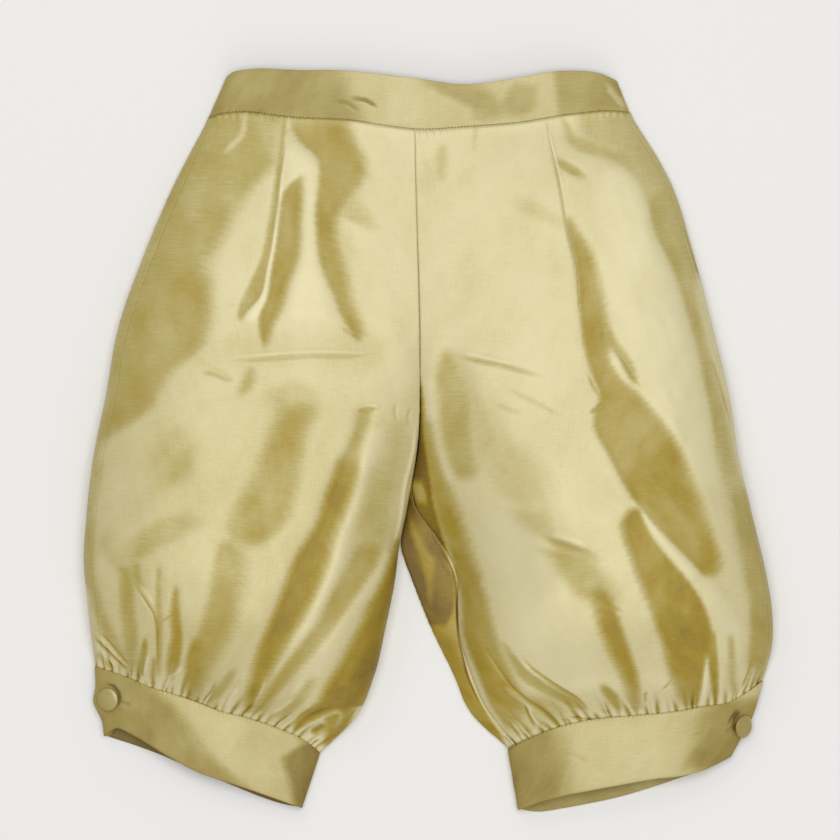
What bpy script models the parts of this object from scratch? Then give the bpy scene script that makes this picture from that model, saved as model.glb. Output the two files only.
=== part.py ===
"""Knee breeches of crisp silk, laid on a table on their back.

The row frame is in metres. +Z is up from the table, +Y runs towards the waist and +X towards the wearer's left.
The origin is on the table under the middle of the garment. Tables and sizes are in millimetres.
"""

import math
from collections import namedtuple

import bpy
import numpy as np
from mathutils import Vector

MM = 0.001

# Driving sizes
CLOTH = 1.0
BAND_CLOTH = 1.6
SEAM_GAP = 0.3
LEG_GAP = 0.4
BUTTON_WIDTH = 15.0
BUTTON_HEIGHT = 3.8
BUTTON_X = {"right": -206.0, "left": 205.5}
BUTTON_SHARE = 0.52
GATHERS_FRONT = 24
BACK_TURNS = [0.0, 1.0, 1.5, 2.0, 2.15, 2.33, 2.5, 2.67, 2.85, 3.0, 4.0, 4.5, 5.0]
GATHERS_BACK = len(BACK_TURNS) - 1
GATHER_DEPTH = 2.4

# One leg and its half of the seat, from the waist seam (down 0) to the knee band's seam (down 1). Each row runs
# straight from the inner edge (centre seam, then the leg's inner outline) to the outer outline, in plan. crown is
# the height of the upper cloth, inner_z the height of the front panel's inner seam, and flap how far the back
# panel shows on top beside that seam, as a share of the row. dome is how softly the cloth rises from that seam,
# from 1 (soft) down to 0.45 (steep).
Station = namedtuple("Station", "down outer_x outer_y inner_x inner_y crown inner_z flap dome")
RIGHT_LEG = [
    Station(0.00, -141.4, 209.2, -6.5, 201.5, 12, 11, 0.0, 1.0),
    Station(0.12, -164.2, 165.1, -6.2, 152.8, 19, 15, 0.0, 1.0),
    Station(0.25, -183.7, 119.0, -5.9, 100.1, 25, 19, 0.0, 1.0),
    Station(0.38, -199.8, 72.8, -5.4, 48.1, 31, 21, 0.0, 0.8),
    Station(0.50, -207.5, 29.9, -5.5, -0.7, 37, 17, 0.0, 0.6),
    Station(0.62, -216.0, -13.0, -11.9, -45.5, 42, 11, 0.0, 0.45),
    Station(0.67, -218.3, -30.9, -16.6, -68.2, 44, 11, 0.0, 0.45),
    Station(0.72, -220.0, -48.8, -19.2, -89.7, 45, 12, 0.0, 0.45),
    Station(0.80, -221.9, -76.7, -25.6, -122.2, 45, 12, 0.0, 0.45),
    Station(0.88, -219.5, -105.3, -33.2, -154.1, 41, 11, 0.0, 0.45),
    Station(0.94, -217.3, -126.8, -44.2, -179.4, 33, 8, 0.0, 0.45),
    Station(1.00, -215.2, -147.6, -67.6, -203.5, 14, 4, 0.0, 0.45),
]
LEFT_LEG = [
    Station(0.00, 133.5, 213.0, -6.5, 201.5, 12, 11, 0.0, 1.0),
    Station(0.12, 159.5, 169.0, -6.2, 152.8, 19, 15, 0.0, 1.0),
    Station(0.25, 175.0, 120.6, -5.9, 100.1, 25, 19, 0.0, 1.0),
    Station(0.38, 187.5, 72.4, -5.4, 48.1, 31, 21, 0.0, 0.9),
    Station(0.50, 198.1, 28.0, -5.5, -0.7, 37, 15, 0.0, 0.85),
    Station(0.62, 205.0, -16.3, -11.9, -45.5, 42, 8, 0.03, 1.0),
    Station(0.67, 209.5, -35.0, -15.9, -68.2, 44, 7, 0.11, 1.0),
    Station(0.72, 213.8, -53.3, -9.4, -89.0, 45, 7, 0.13, 0.9),
    Station(0.80, 221.0, -83.2, 3.3, -121.3, 45, 7, 0.08, 0.65),
    Station(0.88, 225.8, -112.8, 18.9, -153.7, 41, 8, 0.05, 0.5),
    Station(0.94, 225.6, -135.2, 29.9, -177.9, 33, 8, 0.05, 0.45),
    Station(1.00, 220.2, -157.0, 53.3, -200.9, 14, 6, 0.032, 0.45),
]
CROTCH_DOWN = 0.62

# The front waistband in plan, from the wearer's right side to the left. share is the place along it.
WaistPoint = namedtuple("WaistPoint", "share seam_x seam_y top_x top_y")
WAIST = [
    WaistPoint(0.00, -141.4, 209.2, -129.4, 236.6),
    WaistPoint(0.06, -133.6, 211.6, -123.6, 239.9),
    WaistPoint(0.13, -119.0, 212.9, -111.2, 241.5),
    WaistPoint(0.27, -83.9, 209.0, -80.6, 240.5),
    WaistPoint(0.40, -50.0, 207.4, -50.0, 240.2),
    WaistPoint(0.54, -6.5, 201.5, -6.5, 235.3),
    WaistPoint(0.68, 26.0, 203.1, 28.0, 231.4),
    WaistPoint(0.80, 62.4, 206.0, 60.5, 235.6),
    WaistPoint(0.90, 93.0, 211.0, 90.4, 240.2),
    WaistPoint(0.96, 118.4, 213.7, 113.0, 238.9),
    WaistPoint(1.00, 133.5, 213.0, 125.2, 234.0),
]
CENTRE_SHARE = 0.54
BACK_WAIST_LOWER = 4.0
BACK_DROP = 0.5

# How far each edge of a knee band bows towards the foot from the straight line between its corners.
# across runs from the inner corner to the outer one.
KneeEdge = namedtuple("KneeEdge", "across seam front_hem back_hem")
RIGHT_KNEE = [
    KneeEdge(0.00, 0.0, 0.0, 0.0),
    KneeEdge(0.07, -4.1, -0.2, 2.1),
    KneeEdge(0.20, -5.6, -0.4, 3.2),
    KneeEdge(0.32, -5.0, 0.0, 2.6),
    KneeEdge(0.45, -2.7, 0.6, 1.8),
    KneeEdge(0.55, -2.8, 0.2, 1.2),
    KneeEdge(0.65, -2.2, -2.2, 0.0),
    KneeEdge(0.76, -0.8, -5.4, -0.8),
    KneeEdge(0.86, -1.6, -8.2, -0.8),
    KneeEdge(0.94, -0.9, -8.2, -0.4),
    KneeEdge(1.00, 0.0, 0.0, 0.0),
]
LEFT_KNEE = [
    KneeEdge(0.00, 0.0, 0.0, 0.0),
    KneeEdge(0.09, -3.4, -1.6, 4.8),
    KneeEdge(0.21, -5.6, -2.4, 6.8),
    KneeEdge(0.33, -4.9, -1.6, 7.9),
    KneeEdge(0.47, -1.0, -0.4, 8.6),
    KneeEdge(0.64, 3.9, 1.4, 7.6),
    KneeEdge(0.77, 5.9, 3.9, 6.1),
    KneeEdge(0.87, 7.4, 3.9, 4.9),
    KneeEdge(0.94, 4.2, 1.8, 3.2),
    KneeEdge(1.00, 0.0, 0.0, 0.0),
]

# How far the outer end of each knee band stands out from the straight line between its corners.
LapEdge = namedtuple("LapEdge", "height_share right left")
LAP_EDGE = [
    LapEdge(0.00, 0.0, 0.0),
    LapEdge(0.30, 1.5, 2.7),
    LapEdge(0.57, 4.2, 3.5),
    LapEdge(0.75, 0.2, 1.8),
    LapEdge(1.00, 0.0, 0.0),
]

# The larger folds of the upper cloth, each a soft ridge (or a trough where the height is below 0) along a line
# in plan, fading out at both ends.
Fold = namedtuple("Fold", "x1 y1 x2 y2 height half_width")
FOLDS = [
    Fold(-92, 205, -105, 92, 3.5, 6),
    Fold(-70, 200, -58, 95, -3.0, 9),
    Fold(-112, 195, -150, 110, -3.0, 12),
    Fold(-98, 25, -58, -75, 3.5, 14),
    Fold(-50, 45, -95, -130, -3.5, 11),
    Fold(-30, 20, -62, -150, 3.5, 9),
    Fold(-135, -75, -125, -160, -3.5, 9),
    Fold(-165, -60, -190, -130, 3.5, 10),
    Fold(76, 206, 94, 110, -3.0, 8),
    Fold(94, 110, 122, 20, -4.0, 13),
    Fold(105, 55, 178, -95, 4.0, 12),
    Fold(60, 10, 118, -60, -3.5, 12),
    Fold(20, 60, 60, -110, 3.5, 14),
    Fold(112, -40, 150, -150, -4.0, 12),
    Fold(150, -60, 172, -160, 3.0, 9),
    Fold(5, 20, 32, -70, -3.0, 9),
]

# Where the rows of a panel lie: far apart over the leg, close together in the gathers.
UPPER_ROWS = [0.0, 0.06, 0.12, 0.18, 0.25, 0.32, 0.38, 0.45, 0.50, 0.56, 0.62, 0.67, 0.72, 0.77, 0.82, 0.86]
LOWER_ROWS = [0.86, 0.90, 0.93, 0.955, 0.975, 0.99, 1.0]
COLUMNS_PER_GATHER = 4
PATH_POINTS = 160

# Proportions of a section across the leg
SIDE_Z_SHARE = 0.3
ROLL_SHARE = 0.9
STEEP_DOME = 0.45
OUTER_POWER = 2.2

# Waistband and knee band sizes
WAIST_COLUMNS = 49
WAIST_ROWS = (0.0, 0.25, 0.5, 0.75, 0.994)
HEM_RIGHT = ((-80.0, -239.9), (-209.3, -193.1))
HEM_LEFT = ((60.5, -241.2), (199.4, -206.5))
LAP_LENGTH = 20.0
LAP_END_Z = 6.5
LAP_SPACE = 0.4
LAP_EDGE_SPACE = 1.0
UNDER_CLEARANCE = 0.4
BAND_FOLD_Z = 3.0
BAND_EDGES = [0.0, 0.03, 0.08, 0.16, 0.24, 0.32, 0.40, 0.46, 0.54, 0.62, 0.70, 0.78, 0.86, 0.91, 0.95, 1.0]
BAND_ROWS = (0.006, 0.3, 0.57, 0.78, 1.0)

# seam_inset is how far the side seam lies inside the outer outline.
Half = namedtuple("Half", "name side stations knee hem seam_inset")
RIGHT = Half("right", -1, RIGHT_LEG, RIGHT_KNEE, HEM_RIGHT, 6.5)
LEFT = Half("left", 1, LEFT_LEG, LEFT_KNEE, HEM_LEFT, 3.0)


def column(rows, name):
    return np.array([getattr(row, name) for row in rows], float)


def smooth(share):
    """0 to 1 with level ends."""
    share = np.clip(share, 0.0, 1.0)
    return share * share * (3.0 - 2.0 * share)


def through(rows, key, name, at):
    """A table's column read at any place, on a smooth curve through its rows."""
    keys = column(rows, key)
    values = column(rows, name)
    slopes = np.gradient(values, keys)
    at = np.clip(at, keys[0], keys[-1])
    i = np.clip(np.searchsorted(keys, at, side="right") - 1, 0, len(keys) - 2)
    span = keys[i + 1] - keys[i]
    s = (at - keys[i]) / span
    start = (1 + 2 * s) * (1 - s) ** 2 * values[i] + s * (1 - s) ** 2 * span * slopes[i]
    end = s * s * (3 - 2 * s) * values[i + 1] - s * s * (1 - s) * span * slopes[i + 1]
    return start + end


def at_station(half, name, down):
    return through(half.stations, "down", name, down)


def waist_plan(half, across, height_share):
    """A point of the waistband in plan. height_share is 0 at its top edge and 1 at its seam."""
    far_end = 0.0 if half.side < 0 else 1.0
    share = CENTRE_SHARE + (far_end - CENTRE_SHARE) * across
    top = [through(WAIST, "share", "top_" + axis, share) for axis in "xy"]
    seam = [through(WAIST, "share", "seam_" + axis, share) for axis in "xy"]
    return np.stack(top, -1) * (1 - height_share) + np.stack(seam, -1) * height_share


def corners(half, down):
    """The inner and outer end of a row, in plan."""
    inner = np.array([at_station(half, "inner_x", down), at_station(half, "inner_y", down)])
    outer = np.array([at_station(half, "outer_x", down), at_station(half, "outer_y", down)])
    inner[0] += half.side * LEG_GAP * smooth((down - 0.46) / 0.1)
    return inner, outer


def leg_plan(half, across, down):
    """A point of a leg in plan. across is 0 at the inner outline and 1 at the outer one."""
    inner, outer = corners(half, down)
    across = np.asarray(across, float)
    row = inner + (outer - inner) * across[:, None]
    waist_line = np.array([half.stations[0].inner_x, half.stations[0].inner_y])
    waist_end = np.array([half.stations[0].outer_x, half.stations[0].outer_y])
    straight = waist_line + (waist_end - waist_line) * across[:, None]
    row += (waist_plan(half, across, 1.0) - straight) * (1 - smooth(down / 0.15))
    row[:, 1] -= through(half.knee, "across", "seam", across) * smooth((down - 0.75) / 0.25)
    return row


def upper_z(half, across, down):
    """The height of the upper cloth of a leg, folds left out."""
    crown = at_station(half, "crown", down)
    flap = max(0.0, at_station(half, "flap", down))
    inner_z = at_station(half, "inner_z", down)
    side_z = crown * SIDE_Z_SHARE
    along = np.clip((across - flap) / (1 - flap), 0.0, 1.0)
    rise = np.maximum(1 - np.maximum(1 - 2 * along, 0.0) ** 2, 0.0) ** at_station(half, "dome", down)
    fall = np.maximum(1 - np.maximum(2 * along - 1, 0.0) ** OUTER_POWER, 0.0) ** STEEP_DOME
    inner_part = inner_z + (crown - inner_z) * rise
    outer_part = side_z + (crown - side_z) * fall
    return np.where(along < 0.5, inner_part, outer_part)


def fold_height(plan):
    """The sum of the large folds at points in plan."""
    total = np.zeros(len(plan))
    for fold in FOLDS:
        start = np.array([fold.x1, fold.y1])
        run = np.array([fold.x2, fold.y2]) - start
        length = np.linalg.norm(run)
        share = ((plan - start) @ run) / length**2
        away = (plan - start) @ np.array([-run[1], run[0]]) / length
        ends = smooth(share / 0.3 + 0.15) * smooth((1 - share) / 0.3 + 0.15)
        total += fold.height * ends * np.exp(-((away / fold.half_width) ** 2))
    return total


def eased(count, start, stop):
    """Shares that are close together at both ends."""
    angle = np.linspace(0, math.pi, count)
    return start + (stop - start) * (1 - np.cos(angle)) / 2


def side_inset(half, down):
    inner, outer = corners(half, down)
    return 1 - half.seam_inset / np.linalg.norm(outer - inner)


def with_z(plan, z):
    return np.column_stack([plan, z])


def front_path(half, down):
    """The upper cloth across one row, from the inner seam to the side seam."""
    flap = max(0.0, at_station(half, "flap", down))
    across = eased(PATH_POINTS, flap, side_inset(half, down))
    plan = leg_plan(half, across, down)
    z = upper_z(half, across, down)
    level = (z - at_station(half, "inner_z", down)) / max(at_station(half, "crown", down), 1.0)
    return with_z(plan, z + fold_height(plan) * smooth(level * 4 + 0.2) * smooth((1 - across) * 8))


def back_section(half, down, turn):
    """Where the cloth runs from the side seam round the outer edge and under the leg to the inner seam.

    turn is 0 to 1 over the edge, to 2 down the outer roll, to 3 under the leg, to 4 up the inner roll, and to 5
    on top beside the inseam where the back panel shows there. It gives the place across the row, the height,
    and how far the point belongs to the under side.
    """
    inner, outer = corners(half, down)
    width = np.linalg.norm(outer - inner)
    side_z = at_station(half, "crown", down) * SIDE_Z_SHARE
    roll = side_z * ROLL_SHARE / width
    closed = smooth((down - CROTCH_DOWN + 0.16) / 0.16)
    flap = max(0.0, at_station(half, "flap", down))
    shows = min(flap / 0.03, 1.0)
    inner_z = at_station(half, "inner_z", down) * closed
    tuck_z = inner_z * (1 - 0.55 * shows)
    inner_roll = max(tuck_z, 3.0) * ROLL_SHARE / width
    start = side_inset(half, down)
    last = 5 - shows
    angle = np.clip(turn - 1, 0, 1) * math.pi / 2
    tuck = np.clip((turn - 3) / (last - 3), 0, 1) * math.pi / 2
    top = np.clip((turn - last) / max(5 - last, 0.01), 0, 1)
    parts = [
        (turn < 1, start + (1 - start) * turn, upper_z(half, start + (1 - start) * np.clip(turn, 0, 1), down)),
        (turn < 2, 1 - roll * (1 - np.cos(angle)), side_z * (1 - np.sin(angle))),
        (turn < 3, 1 - roll + (inner_roll - 1 + roll) * (turn - 2), turn * 0),
        (turn < last, inner_roll * (1 - np.sin(tuck)), tuck_z * (1 - np.cos(tuck))),
        (turn < 9, flap * top, tuck_z + (inner_z - tuck_z) * np.sin(top * math.pi / 2)),
    ]
    across = np.select([part[0] for part in parts], [part[1] for part in parts])
    z = np.select([part[0] for part in parts], [part[2] for part in parts])
    lower = np.select([turn < 1, turn < 2, turn < 3, turn < last], [turn * 0, np.sin(angle), turn * 0 + 1, np.cos(tuck)])
    return across, z, lower


def back_path(half, down, turn):
    """The back panel's points across one row."""
    across, z, lower = back_section(half, down, turn)
    plan = leg_plan(half, across, down)
    drop = through(half.knee, "across", "back_hem", across) - through(half.knee, "across", "front_hem", across)
    plan[:, 1] -= lower * drop * BACK_DROP * smooth((down - 0.75) / 0.25)
    return with_z(plan, z)


def resampled(path, shares):
    """The path again, with points at these shares of its length."""
    steps = np.linalg.norm(np.diff(path, axis=0), axis=1)
    length = np.concatenate([[0.0], np.cumsum(steps)])
    at = np.asarray(shares) * length[-1]
    return np.stack([np.interp(at, length, path[:, k]) for k in range(3)], axis=1)


def gather_edges(count):
    """The shares of the front's seam where each gather starts, of uneven widths and narrow towards both ends."""
    widths = []
    for k in range(count):
        uneven = 1 + 0.32 * math.sin(2.4 * k + 0.7) + 0.18 * math.sin(5.1 * k)
        from_end = min(k, count - 1 - k)
        widths.append(uneven * (1 - 0.6 * math.exp(-from_end / 1.5)))
    return np.concatenate([[0.0], np.cumsum(widths)]) / sum(widths)


def columns_between(edges):
    """Columns of a panel, COLUMNS_PER_GATHER to each gather."""
    parts = [np.linspace(a, b, COLUMNS_PER_GATHER, endpoint=False) for a, b in zip(edges, edges[1:])]
    return np.concatenate([*parts, [edges[-1]]])


def gather_depths(count, pressed, down):
    """How deep the cloth is pressed in at each column, at one row. Each gather has its own depth and reach.

    pressed is how many of the gathers are drawn in, from the first one on.
    """
    depth = np.zeros(count * COLUMNS_PER_GATHER + 1)
    for k in range(pressed):
        reach = 0.085 + 0.05 * math.sin(1.9 * k + 0.4)
        deep = GATHER_DEPTH * (0.8 + 0.2 * math.sin(3.3 * k))
        fade = math.exp(-((1 - down) / reach) ** 2) * (0.45 + 0.55 * smooth((1 - down) / 0.03))
        middle = k * COLUMNS_PER_GATHER + COLUMNS_PER_GATHER // 2
        depth[middle] = deep * fade
        depth[middle - 1] = depth[middle + 1] = deep * fade * 0.5
    return depth


def directions(grid, axis):
    """At each point of a grid, the mean of the unit steps before and after it."""
    step = np.diff(grid, axis=axis)
    step /= np.linalg.norm(step, axis=2, keepdims=True)
    first, last = np.take(step, [0], axis=axis), np.take(step, [-1], axis=axis)
    return np.concatenate([first, step], axis=axis) + np.concatenate([step, last], axis=axis)


def surface_normals(grid):
    """Unit normals of a grid of points, from the directions along and down."""
    normal = np.cross(directions(grid, 1), directions(grid, 0))
    return normal / np.linalg.norm(normal, axis=2, keepdims=True)


def ring_normals(grid):
    """The same for a grid that closes on itself, whose last column is its first."""
    wrapped = np.concatenate([grid[:, -2:-1], grid, grid[:, 1:2]], axis=1)
    return surface_normals(wrapped)[:, 1:-1]


def shell_mesh(name, outer, inner, faces):
    """One closed wall between two grids' points, given the outer faces as tuples of indices."""
    points = np.concatenate([outer, inner]) * MM
    count = len(outer)
    edges = {}
    for face in faces:
        for a, b in zip(face, face[1:] + face[:1]):
            edges[(a, b)] = True
    rim = [(b, a, a + count, b + count) for a, b in edges if (b, a) not in edges]
    back = [tuple(i + count for i in reversed(face)) for face in faces]
    mesh = bpy.data.meshes.new(name)
    mesh.from_pydata([tuple(p) for p in points], [], faces + back + rim)
    mesh.validate()
    return mesh


def grid_faces(rows, columns, flip):
    """Triangles between two or more rows of equal length."""
    faces = []
    for r in range(rows - 1):
        for c in range(columns - 1):
            a = r * columns + c
            quad = [a, a + 1, a + columns + 1, a + columns]
            if (r + c) % 2:
                quad = quad[1:] + quad[:1]
            pair = [(quad[0], quad[1], quad[2]), (quad[0], quad[2], quad[3])]
            faces += [tuple(reversed(t)) if flip else t for t in pair]
    return faces


def trimmed(grid, gap):
    """The grid with its four edges drawn in by a gap, so that its neighbours stay clear."""
    grid = grid.copy()
    for edge, neighbour in ((0, 1), (-1, -2)):
        step = grid[neighbour] - grid[edge]
        grid[edge] += step / np.linalg.norm(step, axis=1, keepdims=True) * gap
    for edge, neighbour in ((0, 1), (-1, -2)):
        step = grid[:, neighbour] - grid[:, edge]
        grid[:, edge] += step / np.linalg.norm(step, axis=1, keepdims=True) * gap
    return grid


def panel_grid(half, rows, every):
    """The whole tube's points and normals at some rows: front columns, then back columns, with the gathers."""
    front_columns = columns_between(gather_edges(GATHERS_FRONT))[::every]
    back_columns = columns_between(BACK_TURNS)[::every]
    lines = []
    for down in rows:
        front = resampled(front_path(half, down), front_columns)
        back = back_path(half, down, back_columns)
        lines.append(np.concatenate([front, back[1:]]))
    grid = np.array(lines)
    normals = surface_normals(grid) * -half.side
    for r, down in enumerate(rows):
        if down >= CROTCH_DOWN:
            seam_normal = normals[r, 0] + normals[r, -1]
            normals[r, 0] = normals[r, -1] = seam_normal / np.linalg.norm(seam_normal)
        depth_front = gather_depths(GATHERS_FRONT, GATHERS_FRONT, down)[::every]
        depth_back = gather_depths(GATHERS_BACK, BACK_TURNS.index(3.0), down)[::every]
        depth = np.concatenate([depth_front, depth_back[1:]])
        grid[r] -= normals[r] * depth[:, None]
    return grid, normals


def leg_panels(half, material):
    """The front and the back panel of one leg, each a closed wall of cloth."""
    upper, upper_n = panel_grid(half, UPPER_ROWS, COLUMNS_PER_GATHER)
    lower, lower_n = panel_grid(half, LOWER_ROWS, 1)
    made = []
    for kind, gathers, first in (("front", GATHERS_FRONT, 0), ("back", GATHERS_BACK, GATHERS_FRONT)):
        coarse = slice(first, first + gathers + 1)
        fine = slice(first * COLUMNS_PER_GATHER, (first + gathers) * COLUMNS_PER_GATHER + 1)
        grids = []
        for points, normals, part in ((upper, upper_n, coarse), (lower, lower_n, fine)):
            outer = points[:, part]
            inner = outer - normals[:, part] * CLOTH
            grids.append((trim_zone(outer, points is upper), trim_zone(inner, points is upper)))
        made.append(two_zone_panel(f"{kind}_panel_{half.name}", half, grids, gathers, material))
    return made


def trim_zone(grid, is_upper):
    """A zone of a panel with its seam edges drawn in, but not the row where the two zones join."""
    whole = trimmed(grid, SEAM_GAP / 2)
    join = -1 if is_upper else 0
    whole[join] = grid[join]
    for edge, neighbour in ((0, 1), (-1, -2)):
        step = grid[join, neighbour] - grid[join, edge]
        whole[join, edge] += step / np.linalg.norm(step) * SEAM_GAP / 2
    return whole


def two_zone_panel(name, half, grids, gathers, material):
    """Joins the coarse rows of a panel to its fine rows, one coarse step to each gather's columns."""
    (upper, upper_in), (lower, lower_in) = grids
    lower_columns = gathers * COLUMNS_PER_GATHER + 1
    upper_columns = gathers + 1
    rows_kept = len(upper) - 1
    flip = half.side > 0
    outer = np.concatenate([upper[:rows_kept].reshape(-1, 3), lower.reshape(-1, 3)])
    inner = np.concatenate([upper_in[:rows_kept].reshape(-1, 3), lower_in.reshape(-1, 3)])
    start = rows_kept * upper_columns
    faces = grid_faces(rows_kept, upper_columns, flip)
    faces += [tuple(i + start for i in f) for f in grid_faces(len(lower), lower_columns, flip)]
    last = (rows_kept - 1) * upper_columns
    for k in range(gathers):
        a, b = last + k, last + k + 1
        first = start + k * COLUMNS_PER_GATHER
        fan = [(a, first + 1, first), (a, first + 2, first + 1), (a, b, first + 2)]
        fan += [(b, first + 3, first + 2), (b, first + 4, first + 3)]
        faces += [tuple(reversed(t)) if flip else t for t in fan]
    return finished(name, shell_mesh(name, outer, inner, faces), material)


def finished(name, mesh, material):
    """An object in the scene that carries this mesh."""
    mesh.materials.append(material)
    mesh.shade_smooth()
    thing = bpy.data.objects.new(name, mesh)
    bpy.context.scene.collection.objects.link(thing)
    return thing


def strip(name, grid, normals, material, flip):
    """A band of doubled cloth through a grid of points, as a closed wall."""
    outer = trimmed(grid, SEAM_GAP / 2)
    inner = trimmed(grid - normals * BAND_CLOTH, SEAM_GAP / 2)
    rows, columns = grid.shape[:2]
    faces = grid_faces(rows, columns, flip)
    return finished(name, shell_mesh(name, outer.reshape(-1, 3), inner.reshape(-1, 3), faces), material)


def waist_line(height_share, back):
    """One row of the front or back waistband, from the wearer's right side seam to the left."""
    parts = []
    for half in (RIGHT, LEFT):
        if back:
            across, z, lower = back_section(half, 0.0, np.array(BACK_TURNS[1:]))
        else:
            across = eased(60, 1.0, 0.0)
            z, lower = upper_z(half, across, 0.0), 0.0
        plan = waist_plan(half, across, height_share)
        plan[:, 1] -= BACK_WAIST_LOWER * (1 - height_share) * lower
        line = with_z(plan, z)
        parts.append(line if half.side < 0 else line[::-1][1:])
    return np.concatenate(parts)


def waistbands(material):
    front = [resampled(waist_line(share, False), np.linspace(0, 1, WAIST_COLUMNS)) for share in WAIST_ROWS]
    back = [waist_line(share, True)[::-1] for share in WAIST_ROWS]
    ring = np.concatenate([np.array(front), np.array(back)[:, 1:]], axis=1)
    normals = -ring_normals(ring)
    pieces = []
    for name, part in (("front", slice(0, WAIST_COLUMNS)), ("back", slice(WAIST_COLUMNS - 1, None))):
        pieces.append(strip(f"waistband_{name}", ring[:, part], normals[:, part], material, True))
    return pieces


def band_line(half, height_share):
    """One row of a knee band: from the lap's end over the leg, round the inner edge, under, and up beneath the lap."""
    inner, outer = corners(half, 1.0)
    hem_inner, hem_outer = np.array(half.hem[0]), np.array(half.hem[1])
    near = inner + (hem_inner - inner) * height_share
    far = outer + (hem_outer - outer) * height_share
    width = np.linalg.norm(far - near)
    far = far + (far - near) / width * through(LAP_EDGE, "height_share", half.name, height_share)
    crown = half.stations[-1].crown
    inner_z = half.stations[-1].inner_z
    over = eased(60, 1.0, 0.0)
    rise = np.maximum(1 - np.maximum(1 - 2 * over, 0.0) ** 2, 0.0) ** STEEP_DOME
    over_z = np.where(over < 0.5, inner_z + (crown - inner_z) * rise, lap_z(crown, over))
    angle = np.linspace(0, math.pi / 2, 14)
    inner_roll = inner_z / width
    fold_roll = BAND_FOLD_Z / width
    level = np.linspace(inner_roll, 1 - LAP_EDGE_SPACE / width - fold_roll, 30)
    beneath = np.linspace(1 - LAP_EDGE_SPACE / width, 1 - LAP_LENGTH / width, 20)
    ease = smooth((beneath[0] - beneath) * width / 8.0)
    beneath_z = BAND_FOLD_Z + (lap_z(crown, beneath) - BAND_CLOTH - LAP_SPACE - BAND_FOLD_Z) * ease
    across = np.concatenate([
        over,
        (inner_roll * (1 - np.cos(angle)))[1:],
        level[1:],
        (level[-1] + fold_roll * np.sin(angle))[1:],
        beneath[1:],
    ])
    z = np.concatenate([
        over_z,
        (inner_z * (1 - np.sin(angle)))[1:],
        np.zeros(29),
        (BAND_FOLD_Z * (1 - np.cos(angle)))[1:],
        beneath_z[1:],
    ])
    lower = np.concatenate([np.zeros(60), np.sin(angle)[1:], np.ones(42), 1 - ease[1:]])
    plan = near + (far - near) * across[:, None]
    seam = through(half.knee, "across", "seam", across)
    front_hem = through(half.knee, "across", "front_hem", across)
    back_hem = through(half.knee, "across", "back_hem", across)
    drop = (back_hem - front_hem) * lower
    hidden = np.concatenate([np.zeros(60), np.sin(angle)[1:], np.ones(61)])
    clear = UNDER_CLEARANCE * hidden
    plan[:, 1] -= (seam + drop * BACK_DROP + clear) * (1 - height_share) + (front_hem + drop - clear) * height_share
    return with_z(plan, z)


def lap_z(crown, across):
    """The height of a knee band's upper side towards its outer end."""
    along = np.maximum(2 * np.clip(across, 0.0, 1.0) - 1, 0.0)
    return LAP_END_Z + (crown - LAP_END_Z) * (1 - along**OUTER_POWER) ** 0.6


def knee_band(half, material):
    grid = np.array([resampled(band_line(half, share), columns_between(BAND_EDGES)) for share in BAND_ROWS])
    return strip(f"knee_band_{half.name}", grid, surface_normals(grid) * half.side, material, half.side < 0)


def button_profile():
    """The outline of a cloth-covered shank button from its shank's foot to the top of its dome: radius and height."""
    radius = BUTTON_WIDTH / 2
    shank = 2.2
    rim = 0.9
    dome = [
        (radius * math.cos(a), rim + 0.8 + (BUTTON_HEIGHT - rim - 0.8) * math.sin(a))
        for a in np.linspace(0, math.pi / 2, 5)[:-1]
    ]
    return [(shank, 0.0), (shank, rim), (radius - 1.0, rim), *dome]


def band_point(half, x, height_share):
    """The point of a knee band's upper side at this x."""
    over = band_line(half, height_share)[:60]
    order = np.argsort(over[:, 0])
    return np.array([x, *(np.interp(x, over[order, 0], over[order, k]) for k in (1, 2))])


def covered_button(half, material):
    """A button seated on the lap of a knee band, square to the cloth there."""
    spot, inward, footward = (
        band_point(half, x, share)
        for x, share in (
            (BUTTON_X[half.name], BUTTON_SHARE),
            (BUTTON_X[half.name] - half.side * BUTTON_WIDTH / 2, BUTTON_SHARE),
            (BUTTON_X[half.name], BUTTON_SHARE + 0.1),
        )
    )
    normal = Vector(np.cross(inward - spot, footward - spot)).normalized()
    if normal.z < 0:
        normal.negate()
    name = f"button_{half.name}"
    segments = 20
    profile = button_profile()
    points = [
        (r * MM * math.cos(2 * math.pi * s / segments), r * MM * math.sin(2 * math.pi * s / segments), z * MM)
        for r, z in profile
        for s in range(segments)
    ]
    points += [(0, 0, 0), (0, 0, BUTTON_HEIGHT * MM)]
    faces = []
    for ring in range(len(profile) - 1):
        for s in range(segments):
            a, b = ring * segments + s, ring * segments + (s + 1) % segments
            faces.append((a, b, b + segments, a + segments))
    foot, top = len(points) - 2, len(points) - 1
    last = (len(profile) - 1) * segments
    for s in range(segments):
        t = (s + 1) % segments
        faces += [(foot, t, s), (top, last + s, last + t)]
    mesh = bpy.data.meshes.new(name)
    mesh.from_pydata(points, [], faces)
    button = finished(name, mesh, material)
    button.rotation_mode = "QUATERNION"
    button.rotation_quaternion = Vector((0, 0, 1)).rotation_difference(normal)
    button.location = Vector(spot * MM) + normal * (SEAM_GAP + 0.1) * MM
    return button


def cloth_material(name, colour, roughness):
    material = bpy.data.materials.new(name)
    material.use_nodes = True
    shader = material.node_tree.nodes["Principled BSDF"]
    shader.inputs["Base Color"].default_value = (*colour, 1)
    shader.inputs["Roughness"].default_value = roughness
    shader.inputs["Metallic"].default_value = 0.0
    return material


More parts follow.
